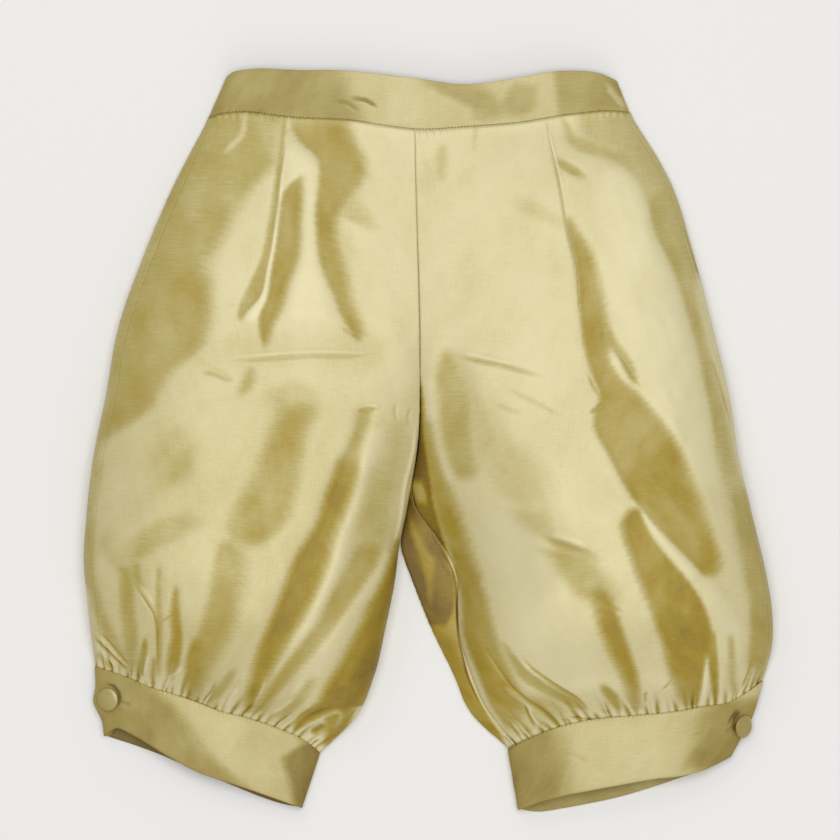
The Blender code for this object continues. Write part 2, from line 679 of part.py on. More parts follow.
def main():
    for thing in list(bpy.data.objects):
        bpy.data.objects.remove(thing)
    silk = cloth_material("gold_silk", (0.62, 0.54, 0.25), 0.35)
    band_silk = cloth_material("gold_silk_band", (0.60, 0.52, 0.24), 0.38)
    button_silk = cloth_material("gold_silk_button", (0.58, 0.50, 0.23), 0.4)
    breeches = bpy.data.objects.new("breeches", None)
    bpy.context.scene.collection.objects.link(breeches)
    pieces = waistbands(band_silk)
    for half in (RIGHT, LEFT):
        pieces += leg_panels(half, silk)
        pieces.append(knee_band(half, band_silk))
        pieces.append(covered_button(half, button_silk))
    for piece in pieces:
        piece.parent = breeches
    bpy.context.view_layer.update()
    points = np.array([piece.matrix_world @ vertex.co for piece in pieces for vertex in piece.data.vertices])
    low, high = points.min(axis=0), points.max(axis=0)
    breeches.location = (-(low[0] + high[0]) / 2, -(low[1] + high[1]) / 2, 0)


main()
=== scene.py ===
# %% [markdown]
# # Knee breeches of gold silk, laid flat
# A child's page-boy breeches lie on their back on a pale table, seen from straight above. The cloth is crisp
# slubbed silk, which shows every fold as a pale patch beside a dark gold one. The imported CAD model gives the
# frame: where each panel, band and button lies. Each of them gets a finer cloth piece in its place.

# %% Load the frame
import math
from collections import namedtuple

import bpy
import numpy as np
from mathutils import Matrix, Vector
from mathutils.bvhtree import BVHTree


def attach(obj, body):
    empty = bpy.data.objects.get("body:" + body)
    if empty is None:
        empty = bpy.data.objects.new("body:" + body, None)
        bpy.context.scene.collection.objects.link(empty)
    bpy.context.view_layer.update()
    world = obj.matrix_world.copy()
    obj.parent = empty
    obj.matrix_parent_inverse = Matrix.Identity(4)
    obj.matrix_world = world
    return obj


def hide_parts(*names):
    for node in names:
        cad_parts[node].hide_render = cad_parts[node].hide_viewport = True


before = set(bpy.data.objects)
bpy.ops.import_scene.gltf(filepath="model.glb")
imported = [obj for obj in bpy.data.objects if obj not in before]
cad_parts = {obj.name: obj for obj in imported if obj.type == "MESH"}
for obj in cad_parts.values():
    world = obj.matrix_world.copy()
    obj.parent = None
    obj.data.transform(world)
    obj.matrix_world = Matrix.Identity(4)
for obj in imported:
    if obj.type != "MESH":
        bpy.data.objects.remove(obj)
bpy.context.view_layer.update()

MM = 0.001

# %% [markdown]
# ## Where things lie
# The tables below are in millimetres, in the plan that the pieces were cut to. The row frame puts its origin
# under the middle of the garment, so every finished point moves by SHIFT. The folds were traced over the
# photograph, so their table is in its pixels, and `on_plan` turns a pixel into millimetres of the plan.

# %% Plan, pixels and the row frame
SHIFT = np.array([-2.275, 0.391, 0.0])
PIXEL = 0.65
PHOTO_SIDE = 840
SEAM_PIXEL = (425.0, 440.0)


def on_plan(px, py):
    """A pixel of the photograph as millimetres in the plan."""
    return np.stack([(np.asarray(px) - SEAM_PIXEL[0]) * PIXEL, (SEAM_PIXEL[1] - np.asarray(py)) * PIXEL], -1)


def on_photo(plan):
    """Points of the plan as pixels of the photograph."""
    return np.stack([plan[..., 0] / PIXEL + SEAM_PIXEL[0], SEAM_PIXEL[1] - plan[..., 1] / PIXEL], -1)


middle = on_plan(PHOTO_SIDE / 2, PHOTO_SIDE / 2) + SHIFT[:2]
print("the photograph's middle in mm:", middle.round(2).tolist())

# %% [markdown]
# ## Camera
# The picture was taken from straight above with little perspective. A long lens three metres up shows 546 mm
# across at the height of the garment's edge, which is 840 pixels of 0.65 mm.

# %% Camera over the table
CAMERA_HEIGHT = 3.0
EDGE_HEIGHT = 0.013
SENSOR = 36.0


def in_scene(name, data):
    """A new object of the scene, at the origin."""
    thing = bpy.data.objects.new(name, data)
    bpy.context.scene.collection.objects.link(thing)
    return thing


camera_data = bpy.data.cameras.new("camera")
camera_data.sensor_width = SENSOR
camera_data.lens = SENSOR * (CAMERA_HEIGHT - EDGE_HEIGHT) / (PHOTO_SIDE * PIXEL * MM)
camera_data.clip_end = 20.0
camera = in_scene("camera", camera_data)
camera.location = (middle[0] * MM, middle[1] * MM, CAMERA_HEIGHT)
bpy.context.scene.camera = camera
bpy.context.scene.view_settings.view_transform = "Standard"
print("lens in mm:", round(camera_data.lens, 1))

# %% [markdown]
# ## Table and light
# Silk shows its folds by what it mirrors. One large soft light hangs overhead, above the camera, so cloth
# that lies level mirrors it and looks pale, and cloth that slopes mirrors the dim room and looks dark gold.
# Two weaker lights, from the waist end and from the knee end, keep the slopes from going dead.

# %% Table, soft lights and room
def linear(red, green, blue):
    """A colour as a screen shows it, 0 to 255, as linear light."""
    shares = (v / 255 for v in (red, green, blue))
    return tuple(((v + 0.055) / 1.055) ** 2.4 if v > 0.04045 else v / 12.92 for v in shares)


def soft_light(name, place, size, power):
    """A square light of this size in metres, turned to the garment."""
    data = bpy.data.lights.new(name, "AREA")
    data.shape = "SQUARE"
    data.size = size
    data.energy = power
    light = in_scene(name, data)
    light.location = place
    light.rotation_euler = (-Vector(place)).to_track_quat("-Z", "Y").to_euler()


def new_finish(name, values):
    """A material with these values on its shader's own sockets."""
    finish = bpy.data.materials.new(name)
    finish.use_nodes = True
    for socket, value in values.items():
        finish.node_tree.nodes["Principled BSDF"].inputs[socket].default_value = value
    return finish


soft_light("overhead_light", (0.05, 0.35, 3.3), 2.6, 70)
soft_light("waist_light", (-1.6, 2.2, 2.0), 1.0, 8)
soft_light("knee_light", (0.5, -2.4, 1.0), 1.6, 10)
world = bpy.data.worlds.new("room")
world.use_nodes = True
room = world.node_tree.nodes["Background"].inputs
room["Color"].default_value = (1.0, 0.985, 0.96, 1)
room["Strength"].default_value = 0.36
bpy.context.scene.world = world

TABLE_HALF, TABLE_Z = 3, -0.0002
table_corners = [(x * TABLE_HALF, y * TABLE_HALF, TABLE_Z) for x, y in ((-1, -1), (1, -1), (1, 1), (-1, 1))]
table_mesh = bpy.data.meshes.new("table_top")
table_mesh.from_pydata(table_corners, [], [(0, 1, 2, 3)])
table_mesh.materials.append(new_finish("pale_table", {
    "Base Color": (0.86, 0.855, 0.845, 1), "Roughness": 0.9, "Specular IOR Level": 0.1,
}))
table_top = in_scene("table_top", table_mesh)

# %% [markdown]
# ## The cut, row by row
# A leg of these breeches is a wide tube that narrows at the waist and is gathered in at the knee. The pattern
# can be given as a few rows across the leg, from the waist seam to the knee seam: where each row ends, how
# high the cloth stands, and how it rises from its inner seam. A smooth curve through the table gives every
# row between. These are the same numbers as the CAD part's, so the fine cloth lies where its solids are.

# %% Rows of both legs
Station = namedtuple("Station", "down outer_x outer_y inner_x inner_y crown inner_z flap dome")
RIGHT_LEG = [Station(*row) for row in (
    (0.00, -141.4, 209.2, -6.5, 201.5, 12, 11, 0.0, 1.0),
    (0.12, -164.2, 165.1, -6.2, 152.8, 19, 15, 0.0, 1.0),
    (0.25, -183.7, 119.0, -5.9, 100.1, 25, 19, 0.0, 1.0),
    (0.38, -199.8, 72.8, -5.4, 48.1, 31, 21, 0.0, 0.8),
    (0.50, -207.5, 29.9, -5.5, -0.7, 37, 17, 0.0, 0.6),
    (0.62, -216.0, -13.0, -11.9, -45.5, 42, 11, 0.0, 0.45),
    (0.67, -218.3, -30.9, -16.6, -68.2, 44, 11, 0.0, 0.45),
    (0.72, -220.0, -48.8, -19.2, -89.7, 45, 12, 0.0, 0.45),
    (0.80, -221.9, -76.7, -25.6, -122.2, 45, 12, 0.0, 0.45),
    (0.88, -219.5, -105.3, -33.2, -154.1, 41, 11, 0.0, 0.45),
    (0.94, -217.3, -126.8, -44.2, -179.4, 33, 8, 0.0, 0.45),
    (1.00, -215.2, -147.6, -67.6, -203.5, 14, 4, 0.0, 0.45),
)]
LEFT_LEG = [Station(*row) for row in (
    (0.00, 133.5, 213.0, -6.5, 201.5, 12, 11, 0.0, 1.0),
    (0.12, 159.5, 169.0, -6.2, 152.8, 19, 15, 0.0, 1.0),
    (0.25, 175.0, 120.6, -5.9, 100.1, 25, 19, 0.0, 1.0),
    (0.38, 187.5, 72.4, -5.4, 48.1, 31, 21, 0.0, 0.9),
    (0.50, 198.1, 28.0, -5.5, -0.7, 37, 15, 0.0, 0.85),
    (0.62, 205.0, -16.3, -11.9, -45.5, 42, 8, 0.03, 1.0),
    (0.67, 209.5, -35.0, -15.9, -68.2, 44, 7, 0.11, 1.0),
    (0.72, 213.8, -53.3, -9.4, -89.0, 45, 7, 0.13, 0.9),
    (0.80, 221.0, -83.2, 3.3, -121.3, 45, 7, 0.08, 0.65),
    (0.88, 225.8, -112.8, 18.9, -153.7, 41, 8, 0.05, 0.5),
    (0.94, 225.6, -135.2, 29.9, -177.9, 33, 8, 0.05, 0.45),
    (1.00, 220.2, -157.0, 53.3, -200.9, 14, 6, 0.032, 0.45),
)]
print("rows in the table:", len(RIGHT_LEG), "right,", len(LEFT_LEG), "left")

# %% Waistband and knee band outlines
WaistPoint = namedtuple("WaistPoint", "share seam_x seam_y top_x top_y")
WAIST = [WaistPoint(*row) for row in (
    (0.00, -141.4, 209.2, -129.4, 236.6),
    (0.06, -133.6, 211.6, -123.6, 239.9),
    (0.13, -119.0, 212.9, -111.2, 241.5),
    (0.27, -83.9, 209.0, -80.6, 240.5),
    (0.40, -50.0, 207.4, -50.0, 240.2),
    (0.54, -6.5, 201.5, -6.5, 235.3),
    (0.68, 26.0, 203.1, 28.0, 231.4),
    (0.80, 62.4, 206.0, 60.5, 235.6),
    (0.90, 93.0, 211.0, 90.4, 240.2),
    (0.96, 118.4, 213.7, 113.0, 238.9),
    (1.00, 133.5, 213.0, 125.2, 234.0),
)]
KneeEdge = namedtuple("KneeEdge", "across seam front_hem back_hem")
RIGHT_KNEE = [KneeEdge(*row) for row in (
    (0.00, 0.0, 0.0, 0.0),
    (0.07, -4.1, -0.2, 2.1),
    (0.20, -5.6, -0.4, 3.2),
    (0.32, -5.0, 0.0, 2.6),
    (0.45, -2.7, 0.6, 1.8),
    (0.55, -2.8, 0.2, 1.2),
    (0.65, -2.2, -2.2, 0.0),
    (0.76, -0.8, -5.4, -0.8),
    (0.86, -1.6, -8.2, -0.8),
    (0.94, -0.9, -8.2, -0.4),
    (1.00, 0.0, 0.0, 0.0),
)]
LEFT_KNEE = [KneeEdge(*row) for row in (
    (0.00, 0.0, 0.0, 0.0),
    (0.09, -3.4, -1.6, 4.8),
    (0.21, -5.6, -2.4, 6.8),
    (0.33, -4.9, -1.6, 7.9),
    (0.47, -1.0, -0.4, 8.6),
    (0.64, 3.9, 1.4, 7.6),
    (0.77, 5.9, 3.9, 6.1),
    (0.87, 7.4, 3.9, 4.9),
    (0.94, 4.2, 1.8, 3.2),
    (1.00, 0.0, 0.0, 0.0),
)]
LapEdge = namedtuple("LapEdge", "height_share right left")
LAP_EDGE = [LapEdge(*row) for row in (
    (0.00, 0.0, 0.0),
    (0.30, 1.5, 2.7),
    (0.57, 4.2, 3.5),
    (0.75, 0.2, 1.8),
    (1.00, 0.0, 0.0),
)]
HEM_RIGHT = ((-80.0, -239.9), (-209.3, -193.1))
HEM_LEFT = ((60.5, -241.2), (199.4, -206.5))
Half = namedtuple("Half", "name side stations knee hem seam_inset")
RIGHT = Half("right", -1, RIGHT_LEG, RIGHT_KNEE, HEM_RIGHT, 6.5)
LEFT = Half("left", 1, LEFT_LEG, LEFT_KNEE, HEM_LEFT, 3.0)
print("waist points:", len(WAIST), "knee points:", len(RIGHT_KNEE) + len(LEFT_KNEE))

# %% Reading the tables
CROTCH_DOWN = 0.62
CENTRE_SHARE = 0.54
BACK_WAIST_LOWER = 4.0
BACK_DROP = 0.5
SIDE_Z_SHARE = 0.3
ROLL_SHARE = 0.9
STEEP_DOME = 0.45
OUTER_POWER = 2.2
CENTRE_BOW = 2.2
WAIST_FADE = 0.15
KNEE_FROM = 0.75


def smooth(share):
    """0 to 1 with level ends."""
    share = np.clip(share, 0.0, 1.0)
    return share * share * (3.0 - 2.0 * share)


def through(rows, key, name, at):
    """A table's column read at any place, on a smooth curve through its rows."""
    keys = np.array([getattr(row, key) for row in rows], float)
    values = np.array([getattr(row, name) for row in rows], float)
    slopes = np.gradient(values, keys)
    at = np.clip(at, keys[0], keys[-1])
    i = np.clip(np.searchsorted(keys, at, side="right") - 1, 0, len(keys) - 2)
    span = keys[i + 1] - keys[i]
    s = (at - keys[i]) / span
    start = (1 + 2 * s) * (1 - s) ** 2 * values[i] + s * (1 - s) ** 2 * span * slopes[i]
    return start + s * s * (3 - 2 * s) * values[i + 1] - s * s * (1 - s) * span * slopes[i + 1]


def at_station(half, name, down):
    return through(half.stations, "down", name, down)


def waist_plan(half, across, height_share):
    """A point of the waistband in plan. height_share is 0 at its top edge and 1 at its seam."""
    far_end = 0.0 if half.side < 0 else 1.0
    share = CENTRE_SHARE + (far_end - CENTRE_SHARE) * across
    top = [through(WAIST, "share", "top_" + axis, share) for axis in "xy"]
    seam = [through(WAIST, "share", "seam_" + axis, share) for axis in "xy"]
    return np.stack(top, -1) * (1 - height_share) + np.stack(seam, -1) * height_share


def corners(half, down):
    """The inner and outer end of a row, in plan."""
    ends = ("inner", "outer")
    return [np.array([at_station(half, f"{end}_{axis}", down) for axis in "xy"]) for end in ends]


def knee_share(down):
    """How far a row has taken on the shape of the knee seam."""
    return smooth((down - KNEE_FROM) / (1 - KNEE_FROM))


def arch(gap, power, dome):
    """1 where there is no gap, falling on a round curve to 0 at a gap of 1."""
    return np.maximum(1 - np.maximum(gap, 0.0) ** power, 0.0) ** dome


print("row at the middle of the right leg:", [c.round(1).tolist() for c in corners(RIGHT, 0.5)])

# %% [markdown]
# ## A section across the leg
# Cut across, the leg is a low arch: the front panel lies over the top from the inner seam to the side seam,
# and the back panel goes on round the outer edge, flat along the table, and up to the inner seam again. A
# section could be a drawn curve for each row, but one rule with the table's heights keeps all rows fair.

# %% The arch of the front and the turn of the back
def leg_plan(half, across, down):
    """A point of a leg in plan. across is 0 at the inner outline and 1 at the outer one."""
    inner, outer = corners(half, down)
    across = np.asarray(across, float)
    row = inner + (outer - inner) * across[:, None]
    waist_start, waist_end = corners(half, 0.0)
    straight = waist_start + (waist_end - waist_start) * across[:, None]
    row += (waist_plan(half, across, 1.0) - straight) * (1 - smooth(down / WAIST_FADE))
    row[:, 1] -= through(half.knee, "across", "seam", across) * knee_share(down)
    row[:, 0] += CENTRE_BOW * (1 - across) ** 3 * smooth(down / 0.33) * smooth((CROTCH_DOWN - down) / 0.25)
    return row


def upper_z(half, across, down):
    """The height of the upper cloth of a leg, folds left out."""
    crown = at_station(half, "crown", down)
    flap = max(0.0, at_station(half, "flap", down))
    inner_z = at_station(half, "inner_z", down)
    side_z = crown * SIDE_Z_SHARE
    along = np.clip((across - flap) / (1 - flap), 0.0, 1.0)
    rise = arch(1 - 2 * along, 2, at_station(half, "dome", down))
    fall = arch(2 * along - 1, OUTER_POWER, STEEP_DOME)
    return np.where(along < 0.5, inner_z + (crown - inner_z) * rise, side_z + (crown - side_z) * fall)


def eased(count, start, stop):
    """Shares that are close together at both ends."""
    return start + (stop - start) * (1 - np.cos(np.linspace(0, math.pi, count))) / 2


FRONT_POINTS = 220


def front_path(half, down):
    """The upper cloth across one row, from the inner seam to the side seam."""
    inner, outer = corners(half, down)
    inset = 1 - half.seam_inset / np.linalg.norm(outer - inner)
    across = eased(FRONT_POINTS, max(0.0, at_station(half, "flap", down)), inset)
    return np.column_stack([leg_plan(half, across, down), upper_z(half, across, down)])


CLOSING = 0.16
FLAP_SHOWS = 0.03
TUCK_SHARE = 0.45
LEAST_ROLL = 3.0


def back_section(half, down, turn):
    """Where the back panel lies across the row, its height, and how far it is on the underside.

    turn is 0 at the side seam, 1 to 2 on the outer roll, 2 to 3 on the table, and 5 at the inner seam."""
    inner, outer = corners(half, down)
    width = np.linalg.norm(outer - inner)
    side_z = at_station(half, "crown", down) * SIDE_Z_SHARE
    roll = side_z * ROLL_SHARE / width
    flap = max(0.0, at_station(half, "flap", down))
    shows = min(flap / FLAP_SHOWS, 1.0)
    inner_z = at_station(half, "inner_z", down) * smooth((down - CROTCH_DOWN + CLOSING) / CLOSING)
    tuck_z = inner_z * (1 - (1 - TUCK_SHARE) * shows)
    inner_roll = max(tuck_z, LEAST_ROLL) * ROLL_SHARE / width
    start = 1 - half.seam_inset / width
    last = 5 - shows
    angle = np.clip(turn - 1, 0, 1) * math.pi / 2
    tuck = np.clip((turn - 3) / (last - 3), 0, 1) * math.pi / 2
    top = np.clip((turn - last) / max(5 - last, 0.01), 0, 1)
    edge = start + (1 - start) * np.clip(turn, 0, 1)
    case = [turn < 1, turn < 2, turn < 3, turn < last, turn < 9]
    across = np.select(case, [
        edge, 1 - roll * (1 - np.cos(angle)), 1 - roll + (inner_roll - 1 + roll) * (turn - 2),
        inner_roll * (1 - np.sin(tuck)), flap * top,
    ])
    z = np.select(case, [
        upper_z(half, edge, down), side_z * (1 - np.sin(angle)), turn * 0,
        tuck_z * (1 - np.cos(tuck)), tuck_z + (inner_z - tuck_z) * np.sin(top * math.pi / 2),
    ])
    lower = np.select(case, [turn * 0, np.sin(angle), turn * 0 + 1, np.cos(tuck), turn * 0])
    return across, z, lower


def back_path(half, down):
    """The back panel across one row, close together where it turns."""
    turn = np.concatenate([np.linspace(0, 2, 60), np.linspace(2, 3, 140)[1:], np.linspace(3, 5, 80)[1:]])
    across, z, lower = back_section(half, down, turn)
    plan = leg_plan(half, across, down)
    back_hem, front_hem = (through(half.knee, "across", hem, across) for hem in ("back_hem", "front_hem"))
    plan[:, 1] -= lower * (back_hem - front_hem) * BACK_DROP * knee_share(down)
    return np.column_stack([plan, z])


def resampled(path, shares):
    """The path again, with points at these shares of its length."""
    length = np.concatenate([[0.0], np.cumsum(np.linalg.norm(np.diff(path, axis=0), axis=1))])
    at = np.asarray(shares) * length[-1]
    return np.stack([np.interp(at, length, column) for column in path.T], axis=1)


print("points across a row:", len(front_path(RIGHT, 0.5)), "front,", len(back_path(RIGHT, 0.5)), "back")

# %% [markdown]
# ## Folds and sheen
# Crisp silk doesn't wrinkle evenly: it breaks into a few long folds, and each has a pale side and a dark gold
# one. A cloth simulation gives folds, but never these folds, so each one is laid over the photograph.
# A patch is a broad fold, given by its left and right border at a few heights. A crease is a line. Both press
# the cloth in or lift it, and paint the fold's sheen and shade into the silk's colour as a tone: 0 is pale
# sheen, 0.5 is olive painted shade, 1 is deep gold painted shade and 1.5 is the painted brown shade of a place
# that no light reaches. Below 0 is a painted highlight, the brightest sheen.

# %% Patches of the wearer's right leg
Patch = namedtuple("Patch", "tone lift soft_left soft_right rows")
RIGHT_LEG_PATCHES = [Patch(*row) for row in (
    # the olive side that faces away from the light, and its paler rim
    (0.57, -0.9, 9, 10, (
        (100, 60, 284), (150, 60, 281), (170, 60, 274), (182, 60, 256), (200, 60, 242), (225, 60, 229),
        (250, 60, 217), (262, 60, 209), (300, 60, 210), (346, 60, 207), (358, 60, 195), (368, 60, 174),
        (384, 60, 162), (402, 60, 156), (414, 60, 149), (425, 60, 128), (440, 60, 104), (452, 60, 92))),
    (0.68, -0.3, 14, 12, (
        (276, 150, 206), (310, 130, 206), (346, 120, 200), (372, 116, 160), (405, 108, 148),
        (425, 100, 120))),
    (-0.14, 0.2, 7, 9, (
        (205, 140, 172), (250, 130, 160), (300, 112, 140), (350, 100, 126), (400, 95, 112),
        (430, 90, 102))),
    (-0.16, 0.3, 8, 5, ((124, 256, 278), (140, 258, 280), (156, 262, 279))),
    (-0.42, 0.7, 2.5, 2.5, (
        (108, 243, 246), (128, 241, 247), (136, 238, 245), (143, 229, 238), (152, 223, 229))),
    # the tuck: painted olive shade, a painted highlight on its lip and painted gold shade in the trough beside
    # it
    (0.62, -0.8, 2.5, 1.5, (
        (118, 283, 286), (150, 280, 284), (165, 277, 281), (180, 275, 279.5), (200, 272.5, 277.5),
        (220, 269.5, 275), (240, 266, 272.5), (255, 263, 270), (265, 260, 269), (275, 254, 267),
        (285, 250, 266), (295, 245, 263), (303, 241, 258), (311, 239, 247), (320, 238, 243))),
    (-0.45, 0.9, 1.5, 1.5, (
        (136, 285, 288), (165, 281.5, 284), (185, 279.5, 282.5), (200, 277.5, 281), (220, 275, 279),
        (240, 272.5, 277), (260, 269.5, 273.5), (275, 267, 271), (288, 265, 270), (300, 262, 268),
        (308, 252, 264), (320, 247, 256))),
    (0.88, -2.2, 3, 5, (
        (176, 300, 304), (188, 286, 304), (200, 281.5, 302), (220, 279.5, 301), (240, 277.5, 300.5),
        (255, 275, 300), (265, 273, 297), (275, 271, 293), (285, 270, 288), (295, 269, 286),
        (305, 266, 284), (312, 261, 282), (319, 260, 276), (330, 260, 273), (340, 262, 270),
        (348, 264, 268))),
    (-0.22, 0.8, 5, 6, (
        (146, 286, 302), (165, 286, 318), (200, 304, 316), (240, 303, 315), (275, 298, 318),
        (320, 290, 330))),
    # the painted dark shade of the band from the waist seam and its branches
    (0.80, -2.0, 3.5, 8, (
        (120, 290, 346), (130, 292, 350), (140, 298, 353), (148, 306, 359), (155, 318, 363),
        (165, 320, 365), (178, 320, 363), (188, 319, 356), (200, 317, 352), (210, 316, 342),
        (222, 316, 336), (235, 317, 338), (250, 318, 341), (265, 321, 345), (280, 327, 348),
        (295, 334, 350), (310, 339, 355), (322, 345, 361), (330, 350, 363), (340, 357, 364))),
    (0.40, -0.5, 6, 8, ((196, 346, 358), (208, 340, 366), (218, 345, 372), (228, 362, 378))),
    (0.22, -0.3, 6, 10, ((228, 334, 344), (250, 342, 358), (264, 346, 352))),
    # the seat
    (0.48, -0.9, 5, 5, ((366, 249, 256), (380, 243, 256), (388, 240, 252), (396, 239, 245))),
    (0.14, 0.0, 16, 12, ((336, 196, 396), (352, 190, 392), (372, 190, 380))),
    (0.34, -0.5, 14, 14, ((425, 168, 192), (450, 158, 200), (475, 156, 194), (490, 160, 175))),
    (0.48, -0.6, 7, 7, ((447, 182, 192), (462, 176, 194), (476, 172, 188))),
    (0.40, -0.9, 10, 9, (
        (512, 176, 200), (524, 152, 204), (536, 136, 184), (548, 128, 158), (560, 122, 140))),
    (0.34, -0.5, 12, 12, ((380, 284, 304), (394, 268, 318), (408, 272, 326), (420, 282, 320))),
    # the broad bands of painted dark shade that run down to the knee
    (0.74, -2.2, 11, 9, (
        (404, 286, 316), (425, 276, 309), (440, 271, 304), (455, 263, 301), (470, 258, 299),
        (485, 250, 297), (500, 243, 294), (515, 235, 290), (528, 232, 280), (544, 240, 262))),
    (0.60, -1.5, 4, 4, (
        (406, 360, 371), (420, 357, 370), (432, 354, 366), (445, 349, 361), (458, 343, 359),
        (472, 338, 358))),
    (1.08, -2.6, 5, 7, (
        (458, 340, 356), (472, 336, 358), (486, 330, 356), (500, 325, 350), (515, 322, 344),
        (530, 315, 338), (545, 303, 333), (560, 296, 329), (575, 288, 323), (600, 281, 313),
        (620, 272, 303), (640, 262, 289), (660, 255, 277), (680, 250, 267), (695, 247, 260),
        (714, 244, 253))),
    (0.40, -1.6, 9, 8, (
        (420, 396, 405), (440, 392, 407), (455, 388, 404), (470, 375, 402), (485, 368, 398),
        (500, 364, 392), (515, 358, 386), (530, 356, 388), (545, 357, 384), (566, 350, 378))),
    (0.76, -1.8, 5, 5, (
        (546, 357, 380), (560, 351, 378), (575, 342, 370), (590, 334, 360), (605, 326, 350),
        (620, 320, 338), (635, 308, 328), (650, 295, 316), (665, 283, 301), (680, 272, 289),
        (695, 262, 275), (714, 255, 263))),
    (-0.22, 0.8, 4, 5, (
        (430, 372, 384), (460, 362, 374), (500, 352, 361), (530, 341, 351), (560, 332, 343),
        (580, 325, 337), (600, 315, 327), (620, 304, 317), (640, 291, 305), (660, 279, 290),
        (680, 268, 276), (702, 257, 261))),
    (-0.18, 0.8, 4, 5, (
        (552, 384, 391), (575, 372, 382), (600, 352, 364), (620, 340, 352), (640, 328, 341),
        (668, 306, 326), (690, 292, 306))),
    # the inner side of the leg, brown in the shade
    (1.15, -0.8, 6, 4, (
        (540, 396, 440), (560, 391, 440), (575, 385, 440), (590, 379, 440), (605, 369, 440),
        (620, 364, 440), (635, 355, 440), (650, 347, 440), (665, 339, 440), (680, 330, 440),
        (695, 322, 440), (706, 318, 350), (714, 302, 326), (724, 297, 306))),
    # the outer rim and the gathers over the knee band, from the outer side inwards
    (0.55, -0.8, 4, 5, (
        (440, 60, 96), (470, 60, 103), (490, 60, 99), (510, 60, 94), (540, 60, 95), (565, 60, 96),
        (580, 84, 97), (592, 90, 100), (605, 93, 104), (620, 98, 110), (640, 106, 120), (655, 117, 127),
        (672, 126, 131))),
    (0.35, -0.5, 6, 7, ((530, 104, 112), (545, 102, 114), (560, 108, 122), (572, 120, 134))),
    (0.60, -1.5, 4, 4, (
        (566, 122, 132), (585, 122, 135), (605, 123, 136), (630, 124, 139), (660, 126, 138),
        (680, 129, 136))),
    (0.50, -0.8, 3, 3, ((562, 134, 142), (575, 134, 143), (588, 140, 148))),
    (0.62, -0.9, 2.5, 2.5, (
        (566, 160, 163), (590, 158, 163), (615, 158, 164), (640, 159, 164), (676, 157, 161))),
    (1.0, -1.8, 3, 2.5, (
        (586, 177, 180), (600, 174, 181), (615, 173, 182), (635, 174, 184), (650, 170, 183),
        (665, 168, 180), (676, 168, 174))),
    (0.62, -2.0, 5, 9, (
        (540, 222, 236), (560, 216, 248), (580, 213, 246), (600, 210, 240), (615, 206, 238),
        (630, 202, 232), (645, 192, 225), (660, 188, 216), (675, 187, 208), (690, 186, 204),
        (706, 188, 198))),
    (0.95, -0.6, 3, 8, ((640, 194, 204), (660, 188, 200), (680, 186, 198), (704, 187, 194))),
    (0.85, -0.9, 2, 2, ((638, 145, 149), (655, 141, 148), (676, 139, 144))),
    (0.75, -0.8, 2, 2, ((658, 154, 158), (680, 150, 155))),
    (0.60, -1.2, 3, 3, ((668, 231, 239), (680, 222, 233), (692, 213, 224), (708, 207, 214))),
    (0.70, -0.8, 2, 2, ((684, 214, 218), (706, 208, 212))),
    (0.52, -1.2, 4, 4, (
        (676, 309, 318), (690, 300, 312), (702, 288, 303), (716, 270, 286), (724, 262, 274))),
    (0.95, -1.0, 2, 3, ((706, 312, 344), (714, 300, 326), (722, 295, 308), (732, 291, 298))),
    (1.05, -0.3, 3, 3, ((698, 326, 356), (712, 324, 352), (728, 326, 348), (748, 322, 342))),
)]
print("patches of the right leg:", len(RIGHT_LEG_PATCHES))

